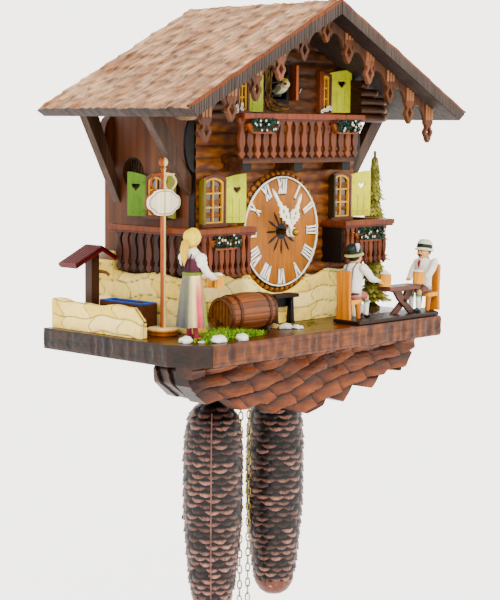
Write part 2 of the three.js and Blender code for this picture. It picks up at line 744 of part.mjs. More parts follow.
function tree() {
  const [x, y] = [137, -94];
  const bodies = [turned(rod(1.8, GAP, 139), x, y, 0, "z", 8)];
  for (let i = 0; i < 5; i += 1) {
    const z = 14 + i * 22;
    const r = 16 - i * 2.2;
    bodies.push(turned([[0, z], [r, z], [r * 0.35, z + 17], [0, z + 19]], x, y, 0, "z", 10));
  }
  return union(bodies);
}

// ---------------------------------------------------------------- assembly
add("base_shelf", baseShelf(), "shelf");
add("apron", apron(), "rail");
add("back_panel", backPanel(), "wall");
add("side_wall_left", sideWall(), "wall");
add("side_wall_right", mirrored(sideWall()), "wall");
add("front_wall", frontWall(), "walnut");
add("roof_left", roofPanel(), "roof");
add("roof_right", mirrored(roofPanel()), "roof");
add("bargeboard_left", bargeboard(), "fret");
add("bargeboard_right", union([mirrored(bargeboard()), apexPendant()]), "fret");
add("corbels_left", corbels(), "walnut");
add("corbels_right", mirrored(corbels()), "walnut");
const FRONT_BRACE = brace(-92, 106, 145.6);
const REAR_BRACE = brace(-11, 97.3, 136.7);
add("brace_front_left", FRONT_BRACE, "walnut");
add("brace_front_right", mirrored(FRONT_BRACE), "walnut");
add("brace_rear_left", REAR_BRACE, "walnut");
add("brace_rear_right", mirrored(REAR_BRACE), "walnut");
add("upper_balustrade", upperBalustrade(), "rail");
add("upper_balcony_floor", upperFloor(), "walnut");
add("lower_balcony_left", lowerBalcony(), "rail");
add("lower_balcony_right", mirrored(lowerBalcony()), "rail");
add("window_left", lowerWindow(), "yellow");
add("window_right", mirrored(lowerWindow()), "yellow");
add("dial", dial(), "rail");
add("minute_hand", minuteHand(), "white");
add("hour_hand", hourHand(), "white");
add("movement_front_plate", frontPlate(), "brass");
add("movement_back_plate", backPlate(), "brass");
add("going_chain_wheel", chainWheel(-WHEEL_X), "brass");
add("strike_chain_wheel", chainWheel(WHEEL_X), "brass");
add("escape_wheel", escapeWheel(), "brass");
add("verge", verge(), "steel");
add("pendulum", pendulum(), "walnut");
add("bellows_left", bellows(-70), "rail");
add("bellows_right", bellows(70), "rail");
add("bellows_lid_left", bellowsLid(-70), "white");
add("bellows_lid_right", bellowsLid(70), "white");
add("cuckoo_door", cuckooDoor(), "rail");
add("cuckoo_bird", cuckooBird(), "yellow");
add("weight_left", weight(-1), "cone");
add("weight_right", weight(1), "cone");
add("chain_left_load", loadChain(-1), "brass");
add("chain_right_load", loadChain(1), "brass");
add("chain_left_free", freeChain(-1), "brass");
add("chain_right_free", freeChain(1), "brass");
add("stone_wall", stoneWall(), "stone");
add("low_wall", lowWall(), "stone");
add("fountain", fountain(), "red");
add("trough", trough(), "walnut");
add("signpost", signpost(), "cream");
add("maiden", maiden(), "plum");
add("barrel", barrel(), "walnut");
add("bench", bench(), "black");
add("table", table(), "plum");
add("chair_left", chair(33, 1, -146), "yellow");
add("chair_right", chair(150, -1, -151), "yellow");
add("drinker_left", drinker(46, -146, 1), "green");
add("drinker_right", drinker(136, -151, -1), "green");
add("drinker_arm_left", drinkerArm(46, -154.4, 79, -153.5), "white");
add("drinker_arm_right", drinkerArm(136, -159.4, 118, -158.5), "white");
add("tree", tree(), "green");

export default part;
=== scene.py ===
"""Looks of the chalet cuckoo clock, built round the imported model. Sizes are in millimetres until make()."""

import math
import random

import bmesh
import bpy
import numpy as np
from mathutils import Matrix, Vector, noise
from mathutils.geometry import tessellate_polygon


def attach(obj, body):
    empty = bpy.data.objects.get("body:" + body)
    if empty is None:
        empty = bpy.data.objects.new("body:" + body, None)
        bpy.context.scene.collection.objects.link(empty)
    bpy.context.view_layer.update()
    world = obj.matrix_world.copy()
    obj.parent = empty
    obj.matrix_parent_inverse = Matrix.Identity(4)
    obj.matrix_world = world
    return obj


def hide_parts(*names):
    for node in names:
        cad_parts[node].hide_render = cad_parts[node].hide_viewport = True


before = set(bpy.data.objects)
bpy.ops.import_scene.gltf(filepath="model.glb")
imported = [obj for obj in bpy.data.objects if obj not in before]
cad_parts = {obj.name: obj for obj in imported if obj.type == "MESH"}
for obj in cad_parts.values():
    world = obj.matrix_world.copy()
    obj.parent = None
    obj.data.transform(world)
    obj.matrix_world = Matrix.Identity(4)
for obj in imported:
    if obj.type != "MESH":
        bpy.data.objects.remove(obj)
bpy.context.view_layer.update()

MM = 0.001
# the house: face of the front wall, underside of the ridge, fall of the roof for each millimetre outwards
FRONT = -103.0
RIDGE = 246.5
SLOPE = 0.51
EAVE = 167.0
ROOF_RISE = 12.5
ROOF_DEPTH = 169.0
EAVE_LIP = 9.0
FRET_FRONT = -154.0
WALL_HALF = 95.3
# the shelf, and the apron's top and back under it
SHELF_HALF = 160.0
SHELF_DEPTH = 168.0
SHELF_THICK = 16.4
APRON_TOP = -16.8
APRON_BACK = -125.0
# the dial's centre height, and the line on which the chains and weights hang
DIAL_Z = 75.0
CHAIN_Y = -69.0
WEIGHT_X = 38.0
# the studio floor lies below the weights at their lowest
FLOOR_Z = -420.0
# how far a named colour is pushed before it is lit
SATURATION = 1.6
DEPTH = 0.62
SHADE = 0.6
BRASS = 0xC8A050
STEEL_GREY = 0x8A8A86
SKIN, BLUSH, CLOTH_WHITE = 0xF2C8A0, 0xE8A888, 0xF6F0E6


def under_roof(x):
    """Height of the roof's underside at x."""
    return RIDGE - SLOPE * abs(x)


def lumps(x, y, z):
    """Smooth noise from about -1 to 1."""
    return noise.noise(Vector((x, y, z)))


def unit(value):
    return min(1, max(0, value))


def bent(value, power):
    """A power of the size of value, with the sign of value."""
    return abs(value) ** power * (1 if value > 0 else -1)


def angles(count):
    """Evenly spaced angles round a circle."""
    return [2 * math.pi * i / count for i in range(count)]


def ring_faces(rings, around):
    """Quads that join rings of points, each with the same number around."""
    return [(k * around + i, k * around + (i + 1) % around, (k + 1) * around + (i + 1) % around,
             (k + 1) * around + i) for k in range(rings - 1) for i in range(around)]


def grid_rim(rows, cols):
    """Numbers of the points on a grid's border, in order round it."""
    rim = list(range(cols)) + [r * cols + cols - 1 for r in range(1, rows)]
    return rim + [(rows - 1) * cols + c for c in range(cols - 2, -1, -1)] + [r * cols
                                                                             for r in range(rows - 2, 0, -1)]


def rim_places(grid, place):
    """place(x, y, z) of every point on the border of a grid."""
    rows, cols = grid.shape[:2]
    flat = grid.reshape(-1, 3)
    return [place(*flat[i]) for i in grid_rim(rows, cols)]


def ease_edges(piece, width, sharpest):
    """Round off the edges that turn by more than `sharpest` degrees."""
    ease = piece.modifiers.new("edge", "BEVEL")
    ease.width = width * MM
    ease.segments = 2
    ease.limit_method = "ANGLE"
    ease.angle_limit = math.radians(sharpest)


# ---------------------------------------------------------------- camera, light and floor
def add_camera():
    turn, tilt, roll = math.radians(47), math.radians(6.2), math.radians(0.5)
    ahead = Vector((math.sin(turn) * math.cos(tilt), math.cos(turn) * math.cos(tilt), -math.sin(tilt)))
    level = Vector((math.cos(turn), -math.sin(turn), 0))
    up = level.cross(ahead)
    right = level * math.cos(roll) + up * math.sin(roll)
    top = up * math.cos(roll) - level * math.sin(roll)
    data = bpy.data.cameras.new("camera")
    data.lens = 96
    data.sensor_width = 36
    data.clip_end = 50
    camera = bpy.data.objects.new("camera", data)
    camera.matrix_world = Matrix((right, top, -ahead)).transposed().to_4x4()
    camera.location = Vector((-965.4, -973.9, 159.6)) * MM
    bpy.context.collection.objects.link(camera)
    bpy.context.scene.camera = camera


def add_light(name, place, target, size, power, colour=(1, 1, 1)):
    data = bpy.data.lights.new(name, "AREA")
    data.shape = "SQUARE"
    data.size = size
    data.energy = power
    data.color = colour
    light = bpy.data.objects.new(name, data)
    light.location = place
    light.rotation_euler = (Vector(target) - Vector(place)).to_track_quat("-Z", "Y").to_euler()
    bpy.context.collection.objects.link(light)


def add_studio():
    world = bpy.data.worlds.new("studio")
    world.use_nodes = True
    world.node_tree.nodes["Background"].inputs["Color"].default_value = (1.0, 0.985, 0.96, 1)
    world.node_tree.nodes["Background"].inputs["Strength"].default_value = 0.15
    bpy.context.scene.world = world
    middle = (0, -0.08, 0.0)
    add_light("key", (-1.0, -1.5, 1.5), middle, 0.6, 78, (1.0, 0.96, 0.9))
    add_light("fill", (-1.7, -0.2, 0.5), middle, 1.2, 3, (0.92, 0.96, 1.0))
    add_light("front", (0.9, -1.9, 0.35), middle, 1.2, 7, (1.0, 0.98, 0.95))
    add_light("top", (0.2, 0.5, 1.9), middle, 1.2, 6)
    # a round floor that turns up into a backdrop
    radii = [0.0, 0.5, 1.2, 2.0, 2.6, 3.0, 3.2, 3.3, 3.35]
    heights = [0.0, 0.0, 0.0, 0.0, 0.06, 0.3, 0.8, 1.6, 4.0]
    pile = Pile()
    pile.turned([(r / MM, h / MM) for r, h in zip(radii, heights)], (0, 0, FLOOR_Z), "z", 0xF4F1EC, 64)
    floor = pile.make("studio_floor", plain_floor(), body=None, smooth=60)


# ---------------------------------------------------------------- colours and materials
def linear(colour):
    """A 0xRRGGBB colour as linear red, green, blue, alpha, deepened so that it reads true in bright light."""
    channels = [(colour >> shift & 255) / 255 for shift in (16, 8, 0)]
    channels = [c / 12.92 if c <= 0.04045 else ((c + 0.055) / 1.055) ** 2.4 for c in channels]
    grey = 0.2126 * channels[0] + 0.7152 * channels[1] + 0.0722 * channels[2]
    deeper = SHADE * max(grey, 0.0004) ** DEPTH
    return tuple(deeper * max(0.0, grey + SATURATION * (c - grey)) for c in channels) + (1.0,)


class Shader:
    """A node material with a Principled surface, placed by object coordinates in metres."""

    def __init__(self, name, **sockets):
        self.mat = bpy.data.materials.new(name)
        self.mat.use_nodes = True
        self.tree = self.mat.node_tree
        self.bsdf = self.tree.nodes["Principled BSDF"]
        sockets.setdefault("Specular_IOR_Level", 0.14)
        for socket, value in sockets.items():
            self.bsdf.inputs[socket.replace("_", " ")].default_value = value
        self.place = self.node("ShaderNodeTexCoord").outputs["Object"]

    def node(self, kind, **inputs):
        node = self.tree.nodes.new(kind)
        for key, value in inputs.items():
            key = key.replace("_", " ")
            if hasattr(value, "links"):
                self.tree.links.new(value, node.inputs[key])
            else:
                node.inputs[key].default_value = value
        return node

    def join(self, output, socket):
        self.tree.links.new(output, self.bsdf.inputs[socket])

    def mottle(self, scale, detail=4.0, distortion=0.0, roughness=0.55, turn=(0, 0, 0)):
        """Noise with its own scale per metre along each axis."""
        mapped = self.node("ShaderNodeMapping", Vector=self.place, Scale=scale, Rotation=turn)
        cloud = self.node("ShaderNodeTexNoise", Vector=mapped.outputs["Vector"], Scale=1.0, Detail=detail,
                          Roughness=roughness, Distortion=distortion)
        return cloud.outputs["Fac"]

    def ramp(self, value, stops):
        node = self.node("ShaderNodeValToRGB", Fac=value)
        bar = node.color_ramp.elements
        while len(bar) < len(stops):
            bar.new(0.5)
        for element, (spot, colour) in zip(bar, stops):
            element.position = spot
            element.color = linear(colour) if isinstance(colour, int) else (colour, colour, colour, 1)
        return node.outputs["Color"]

    def mix(self, first, second):
        """Two colours multiplied."""
        node = self.tree.nodes.new("ShaderNodeMix")
        node.data_type = "RGBA"
        node.blend_type = "MULTIPLY"
        node.inputs[0].default_value = 1.0
        self.tree.links.new(first, node.inputs[6])
        self.tree.links.new(second, node.inputs[7])
        return node.outputs[2]

    def paint(self):
        node = self.tree.nodes.new("ShaderNodeAttribute")
        node.attribute_name = "paint"
        return node.outputs["Color"]

    def rough(self, value, low, high):
        spread = self.node("ShaderNodeMapRange", Value=value, To_Min=low, To_Max=high)
        self.join(spread.outputs["Result"], "Roughness")

    def bump(self, value, strength, distance=0.0006):
        node = self.node("ShaderNodeBump", Height=value, Strength=strength, Distance=distance)
        self.join(node.outputs["Normal"], "Normal")


def wood(name, along="z", stops=None, rough=(0.4, 0.62), contrast=(0.62, 1.12), fine=240, long=14,
         turn=(0, 0, 0), bumps=0.35, blotch=26, coat=0.0, depth=0.0005):
    """Stained wood: grain drawn out along one axis, over paint kept on the mesh or a ramp of its own."""
    shader = Shader(name, Coat_Weight=0.25 * coat, Coat_Roughness=0.25)
    scale = [fine, fine, fine]
    scale["xyz".index(along)] = long
    grain = shader.mottle(scale, 7, 0.6, 0.62, turn)
    cloud = shader.mottle((blotch, blotch, blotch), 3, 0.3)
    if stops is None:
        grained = shader.ramp(grain, [(0.3, contrast[0] * 0.8), (0.5, 0.97), (0.7, contrast[1] * 1.12)])
        base = shader.mix(shader.paint(), grained)
    else:
        base = shader.ramp(grain, stops)
    shade = shader.ramp(cloud, [(0.3, 0.78), (0.65, 1.08)])
    shader.join(shader.mix(base, shade), "Base Color")
    shader.rough(grain, rough[1], rough[0])
    shader.bump(grain, bumps, depth)
    return shader.mat


def painted(name, rough=(0.42, 0.6), contrast=(0.86, 1.06), fine=420, bumps=0.18, coat=0.0, blotch=60):
    """Hand-laid paint over the colours kept on the mesh: faint brush marks, worn a little unevenly."""
    shader = Shader(name, Coat_Weight=0.25 * coat, Coat_Roughness=0.2)
    brush = shader.mottle((fine, fine, fine * 0.35), 5, 0.8)
    cloud = shader.mottle((blotch, blotch, blotch), 3, 0.2)
    base = shader.mix(shader.paint(), shader.ramp(brush, [(0.3, contrast[0]), (0.7, contrast[1])]))
    shader.join(shader.mix(base, shader.ramp(cloud, [(0.3, 0.88), (0.66, 1.05)])), "Base Color")
    shader.rough(brush, rough[1], rough[0])
    shader.bump(brush, bumps, 0.0003)
    return shader.mat


def metal(name, stops, rough=(0.22, 0.42), scale=(300, 300, 300)):
    shader = Shader(name, Metallic=1.0)
    cloud = shader.mottle(scale, 5, 0.4)
    shader.join(shader.ramp(cloud, stops), "Base Color")
    shader.rough(cloud, rough[0], rough[1])
    shader.bump(cloud, 0.08, 0.0002)
    return shader.mat


def plain_floor():
    shader = Shader("plain_floor", Roughness=0.85, Emission_Color=(1.0, 0.985, 0.955, 1),
                    Emission_Strength=3.5)
    cloud = shader.mottle((3, 3, 3), 2)
    shader.join(shader.ramp(cloud, [(0.3, 0xC6C2BB), (0.7, 0xCAC6C0)]), "Base Color")
    return shader.mat


# ---------------------------------------------------------------- mesh building
AXES = {"x": (1, 2, 0), "y": (0, 2, 1), "z": (0, 1, 2)}


class Pile:
    """Simple shapes gathered into one mesh, in millimetres, each vertex with its paint."""

    def __init__(self):
        self.verts = []
        self.faces = []
        self.paint = []

    def add(self, verts, faces, colour):
        start = len(self.verts)
        self.verts.extend(tuple(v) for v in verts)
        self.faces.extend(tuple(start + i for i in face) for face in faces)
        if isinstance(colour, int):
            self.paint.extend([linear(colour)] * len(verts))
        else:
            self.paint.extend(tuple(c) for c in colour)
        return self

    def prism(self, outline, axis, low, high, colour, holes=()):
        """Outline in the two axes across `axis`, with holes, from low to high."""
        u, v, w = AXES[axis]
        loops = [[Vector((a, b, 0)) for a, b in loop] for loop in (outline, *holes)]
        flat = [p for loop in loops for p in loop]
        triangles = tessellate_polygon(loops)
        verts = []
        for level in (low, high):
            for p in flat:
                place = [0.0, 0.0, 0.0]
                place[u], place[v], place[w] = p.x, p.y, level
                verts.append(place)
        count = len(flat)
        faces = [tuple(t) for t in triangles] + [tuple(i + count for i in reversed(t)) for t in triangles]
        start = 0
        for loop in loops:
            size = len(loop)
            for i in range(size):
                a, b = start + i, start + (i + 1) % size
                faces.append((a, b, b + count, a + count))
            start += size
        return self.add(verts, faces, colour)

    def box(self, x0, x1, y0, y1, z0, z1, colour):
        return self.prism([(x0, y0), (x1, y0), (x1, y1), (x0, y1)], "z", z0, z1, colour)

    def turned(self, profile, centre, axis, colour, sides=24, squash=(1.0, 1.0), lean=None, colours=None):
        """A profile of (radius, height) turned about an axis through centre; a zero radius closes an end."""
        u, v, w = AXES[axis]
        verts, faces, paint, rings = [], [], [], []
        for k, (radius, height) in enumerate(profile):
            shade = linear(colours[k]) if colours else (linear(colour) if isinstance(colour, int) else colour)
            ring = []
            for angle in angles(sides)[:1 if radius <= 0 else sides]:
                place = [0.0, 0.0, 0.0]
                place[u] = radius * squash[0] * math.cos(angle)
                place[v] = radius * squash[1] * math.sin(angle)
                place[w] = height
                place = Vector(place)
                if lean is not None:
                    place = lean @ place
                ring.append(len(verts))
                verts.append(place + Vector(centre))
                paint.append(shade)
            rings.append(ring)
        for low, high in zip(rings, rings[1:]):
            for i in range(sides):
                j = (i + 1) % sides
                if len(low) == 1 and len(high) == 1:
                    continue
                if len(low) == 1:
                    faces.append((low[0], high[j], high[i]))
                elif len(high) == 1:
                    faces.append((low[i], low[j], high[0]))
                else:
                    faces.append((low[i], low[j], high[j], high[i]))
        return self.add(verts, faces, paint)

    def ball(self, centre, radii, colour, lean=None, wide=18, high=11, shape=None):
        """An egg of three radii; shape(x, y, z) may move a point of the unit ball."""
        if isinstance(radii, (int, float)):
            radii = (radii, radii, radii)
        start = len(self.verts)
        rows = [(math.sin(math.pi * k / high) if 0 < k < high else 0, -math.cos(math.pi * k / high))
                for k in range(high + 1)]
        self.turned(rows, (0, 0, 0), "z", colour, wide)
        for i in range(start, len(self.verts)):
            place = Vector(self.verts[i])
            if shape:
                place = Vector(shape(*place))
            place = Vector((place.x * radii[0], place.y * radii[1], place.z * radii[2]))
            if lean is not None:
                place = lean @ place
            self.verts[i] = tuple(place + Vector(centre))
        return self

    def tube(self, points, radii, colour, sides=10, closed=False, colours=None, flat=1.0):
        """A round bar along points; radii is one number or one per point."""
        points = [Vector(p) for p in points]
        count = len(points)
        if isinstance(radii, (int, float)):
            radii = [radii] * count
        verts, faces, paint = [], [], []
        normal = None
        for k in range(count):
            ahead = points[(k + 1) % count] - points[k] if (closed
                                                            or k < count - 1) else points[k] - points[k - 1]
            behind = points[k] - points[k - 1] if (closed or k > 0) else ahead
            tangent = (ahead.normalized() + behind.normalized()).normalized()
            if normal is None:
                normal = tangent.orthogonal().normalized()
            normal = (normal - tangent * normal.dot(tangent)).normalized()
            side = tangent.cross(normal)
            for angle in angles(sides):
                verts.append(points[k] + radii[k] * (normal * math.cos(angle) * flat
                                                     + side * math.sin(angle)))
                paint.append(linear(colours[k] if colours else colour))
        rings = count if closed else count - 1
        for k in range(rings):
            for i in range(sides):
                j = (i + 1) % sides
                a, b = k * sides, ((k + 1) % count) * sides
                faces.append((a + i, a + j, b + j, b + i))
        if not closed:
            faces.append(tuple(reversed(range(sides))))
            faces.append(tuple((count - 1) * sides + i for i in range(sides)))
        return self.add(verts, faces, paint)

    def slab(self, grid, paint, back, back_paint=None):
        """A closed board: grid is an array of its carved face, back the border of its back."""
        rows, cols = grid.shape[:2]
        verts = [tuple(p) for p in grid.reshape(-1, 3)]
        faces = [(r * cols + c, (r + 1) * cols + c, (r + 1) * cols + c + 1, r * cols + c + 1)
                 for r in range(rows - 1) for c in range(cols - 1)]
        rim = grid_rim(rows, cols)
        start = len(verts)
        colours = [tuple(c) for c in paint.reshape(-1, 4)]
        colours += [back_paint or colours[i] for i in rim]
        for n in range(len(rim)):
            m = (n + 1) % len(rim)
            faces.append((rim[n], rim[m], start + m, start + n))
        faces.append(tuple(start + n for n in range(len(rim)))[::-1])
        return self.add(verts + list(back), faces, colours)

    def take(self, other):
        """Add another pile's shapes to this one."""
        return self.add(other.verts, other.faces, other.paint)

    def moved(self, matrix, start=0):
        for i in range(start, len(self.verts)):
            self.verts[i] = tuple(matrix @ Vector(self.verts[i]))
        return self

    def mirrored(self):
        """The same shapes on the other side of the clock."""
        twin = Pile()
        twin.verts = [(-x, y, z) for x, y, z in self.verts]
        twin.faces = [tuple(reversed(face)) for face in self.faces]
        twin.paint = list(self.paint)
        return twin

    def shade(self, rule):
        """Repaint: rule(place, paint) gives each vertex its new colour."""
        self.paint = [rule(place, paint) for place, paint in zip(self.verts, self.paint)]
        return self

    def make(self, name, material, body="case", slot=None, replaces=(), smooth=35, bevel=0.0):
        """One named piece of the visual, from everything gathered so far."""
        mesh = bpy.data.meshes.new(name)
        mesh.from_pydata([(x * MM, y * MM, z * MM) for x, y, z in self.verts], [], self.faces)
        layer = mesh.color_attributes.new("paint", "FLOAT_COLOR", "POINT")
        layer.data.foreach_set("color", np.array(self.paint, dtype=np.float32).ravel())
        tidy = bmesh.new()
        tidy.from_mesh(mesh)
        bmesh.ops.recalc_face_normals(tidy, faces=tidy.faces)
        tidy.to_mesh(mesh)
        tidy.free()
        mesh.materials.append(material)
        mesh.polygons.foreach_set("use_smooth", [True] * len(mesh.polygons))
        mesh.set_sharp_from_angle(angle=math.radians(smooth))
        piece = bpy.data.objects.new(name, mesh)
        bpy.context.collection.objects.link(piece)
        if bevel:
            ease_edges(piece, bevel, 35)
        if body:
            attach(piece, body)
        if replaces:
            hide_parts(*replaces)
        return piece


def tinted(colour, factor):
    return tuple(min(1.0, c * factor) for c in colour[:3]) + (1.0,)


def blended(first, second, amount):
    amount = min(1.0, max(0.0, amount))
    return tuple(a + (b - a) * amount for a, b in zip(first, second))


def lean(x=0, y=0, z=0):
    """Turn in degrees about X, then Y, then Z."""
    turns = [Matrix.Rotation(math.radians(angle), 3, axis) for axis, angle in zip("XYZ", (x, y, z))]
    return turns[2] @ turns[1] @ turns[0]


def field(values):
    """Lattice noise over an array of (..., 3) places, in step with mathutils.noise."""
    flat = np.asarray(values, float).reshape(-1, 3)
    out = np.array([noise.noise(Vector(p)) for p in flat])
    return out.reshape(np.asarray(values).shape[:-1])


def dress(material, *names, edge):
    """A CAD node keeps its shape and gets its finish, with its edges eased."""
    for name in names:
        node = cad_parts[name]
        node.data.materials.clear()
        node.data.materials.append(material)
        ease_edges(node, edge, 40)


# ---------------------------------------------------------------- roof
def carved_roof():
    """The left slope: long gouge strokes in wavering rows, each lapping over the one below."""
    stroke, exposure = 8.6, 24.0
    rows, cols = 172, 150
    top = RIDGE + ROOF_RISE
    down = Vector((-EAVE, 0, -SLOPE * EAVE))
    length = down.length
    outward = Vector((-SLOPE, 0, 1)).normalized()
    s = np.linspace(0, ROOF_DEPTH - 0.9, cols)[None, :] * np.ones((rows, 1))
    t = np.linspace(0, length, rows)[:, None] * np.ones((1, cols))
    sway = field(np.stack([s / 40, t / 30, t * 0 + 3.1],
                          -1)) * 5.5 + field(np.stack([s / 13, t / 19, t * 0], -1)) * 1.6
    column = (s + sway) / stroke
    index = np.floor(column).astype(int)
    across = column - index
    rng = random.Random(5)
    offsets = np.array([rng.random() for _ in range(200)])
    reach = np.array([0.8 + 0.45 * rng.random() for _ in range(200)])
    phase = t / (exposure * reach[index % 200]) + offsets[(index * 7) % 200]
    phase -= 0.16 * (1 - (2 * across - 1) ** 2)
    along = phase - np.floor(phase)
    tile = (index * 31 + np.floor(phase).astype(int) * 17) % 200
    lip = np.clip(along / 0.86, 0, 1) ** 1.4 - np.clip((along - 0.86) / 0.14, 0, 1)
    crown = 1 - (2 * across - 1) ** 2
    tilt = (offsets[tile] - 0.5) * 1.2
    height = 1.25 * lip * (0.45 + 0.55 * crown) + 0.45 * crown + 0.35 * tilt * (across - 0.5)
    height += field(np.stack([s / 26, t / 34, t * 0 + 9], -1)) * 0.9
    height += field(np.stack([s / 2.2, t / 17, t * 0 + 5], -1)) * 0.22
    height -= height.max() + 0.05
    wave = field(np.stack([s * 0 + 2, t / 17, t * 0], -1)) * 1.3
    ease = np.clip(1 - (ROOF_DEPTH - s) / 5.0, 0, 1)
    height -= ease ** 2 * (0.9 + wave)
    ease = np.clip(1 - (length - t) / 7.0, 0, 1)
    height -= ease ** 2 * (1.1 + field(np.stack([s / 8, t * 0, t * 0], -1)) * 1.1)
    ease = np.clip(1 - s / 4.0, 0, 1)
    height -= ease ** 2 * 0.8
    x = down.x * t / length + outward.x * height
    z = top + down.z * t / length + outward.z * height
    grid = np.stack([x, -s, z], -1)
    slope = np.gradient(height, axis=0)
    pale, rose, dusk, moss = (np.array(linear(c)) for c in (0xE8C6AA, 0xC99478, 0x7E6A60, 0x847656))
    hue = 0.5 + 0.9 * field(np.stack([s / 12, t / 44, t * 0 + 7], -1)) + 0.35 * (offsets[tile] - 0.5)
    paint = pale + (rose - pale) * np.clip(hue, 0, 1)[..., None]
    # painted shade: the hollows between the lips blend towards grey-brown and olive shadow tones (dusk and
    # moss)
    hollow = np.clip(0.75 - lip * 0.9 - crown * 0.35 + 0.25 * field(np.stack([s / 6, t / 6, t * 0], -1)), 0,
                     1)
    tone = dusk + (moss - dusk) * np.clip(0.3 + 1.2 * field(np.stack([s / 22, t / 22, t * 0 + 1], -1)), 0,
                                          1)[..., None]
    paint = paint + (tone - paint) * (hollow * 0.62)[..., None]
    # painted shade on the faces that slope down under each lip
    under = np.clip(-slope * 3.0, 0, 1)
    paint = paint + (dusk * 0.6 - paint) * (under * 0.5)[..., None]
    streak = field(np.stack([s / 1.9, t / 26, t * 0 + 4],
                            -1)) + 0.6 * field(np.stack([s / 5, t / 40, t * 0 + 6], -1))
    paint = paint * (1 + 0.75 * streak)[..., None]
    paint[-1] = np.array(linear(0x5E504A))
    paint[..., 3] = 1
    soffit = []
    for i in grid_rim(rows, cols):
        r, c = divmod(i, cols)
        px = -(EAVE - EAVE_LIP) * r / (rows - 1)
        soffit.append((px, -s[r, c], under_roof(px) + 0.05))
    pile = Pile()
    pile.slab(grid, paint, soffit)
    # painted highlight in orange along the top of the front edge, and painted shade on the underside of the
    # slab, lighter grey out near the eave
    dark, orange, grey = linear(0x4A2A20), linear(0xA8622F), linear(0x6E5F58)

    def chamfer_highlight_soffit_shade(place, colour):
        px, py, pz = place
        drop = top + SLOPE * px - pz
        if drop < 3.4 and py < 0.5 - ROOF_DEPTH:
            return orange
        if drop > 6:
            return grey if px < -150 else dark
        return colour
    return pile.shade(chamfer_highlight_soffit_shade)


def roof():
    grain = math.atan(SLOPE)
    left = carved_roof()
    for tag, slope, turn in (("left", left, grain), ("right", left.mirrored(), -grain)):
        covering = wood("roof_covering_" + tag, "x", rough=(0.5, 0.72), contrast=(0.5, 1.2), fine=340,
                        long=18, turn=(0, turn, 0), bumps=0.5, blotch=40)
        slope.make("roof_shingles_" + tag, covering, slot="roof_wood", replaces=["roof_" + tag], smooth=50)
    rake = Pile()
    for side in (-1, 1):
        rake_face(rake, side)
    front = wood("rake_grain", "z", rough=(0.5, 0.7), contrast=(0.5, 1.2), fine=650, long=40, bumps=0.5)
    rake.make("roof_rakes", front, slot="roof_wood", smooth=50)


def rake_face(pile, side):
    """The cut end of a slope: a wavering orange chamfer over a grey face of upright chisel strokes."""
    cols, rows = 300, 9
    grid, paint = np.zeros((rows, cols, 3)), np.zeros((rows, cols, 4))
    orange, greys = linear(0xA4623A), (linear(0x665852), linear(0x7E6E66), linear(0x443832))
    for c in range(cols):
        px = 0.3 + (EAVE - 0.6) * c / (cols - 1)
        crest = RIDGE + ROOF_RISE - SLOPE * px - 0.4 + 1.0 * lumps(px / 13, side * 4, 0)
        foot = under_roof(px) + 0.3
        if px > EAVE - EAVE_LIP:
            foot += (px - EAVE + EAVE_LIP) * (SLOPE + 7.9 / EAVE_LIP)
        crest = max(crest, foot + 0.3)
        stroke_at = px / 2.6 + 0.6 * lumps(px / 6, 1, side)
        part = stroke_at - math.floor(stroke_at)
        for r in range(rows):
            share = r / (rows - 1)
            z = crest + (foot - crest) * share
            cut = 0.45 * (1 - part) + 0.3 * abs(lumps(px / 1.8, z / 4, side))
            y = -ROOF_DEPTH + 0.05 + cut
            if r == 0:
                y = -ROOF_DEPTH + 0.95
            if r == 1:
                z, y = crest - 1.7, -ROOF_DEPTH + 0.25
            grid[r, c] = (side * px, y, z)
            # the top two rows are the orange chamfer, a painted highlight; the grey face is painted darker in
            # the deep end of each stroke, as shade, and darker towards its foot
            grey = blended(greys[0], greys[1], part)
            grey = blended(grey, greys[2], 0.6 * (part < 0.18) + 0.3 * share)
            paint[r, c] = orange if r < 2 else grey
    pile.slab(grid, paint, rim_places(grid, lambda x, y, z: (x, y + 1.4, z)))


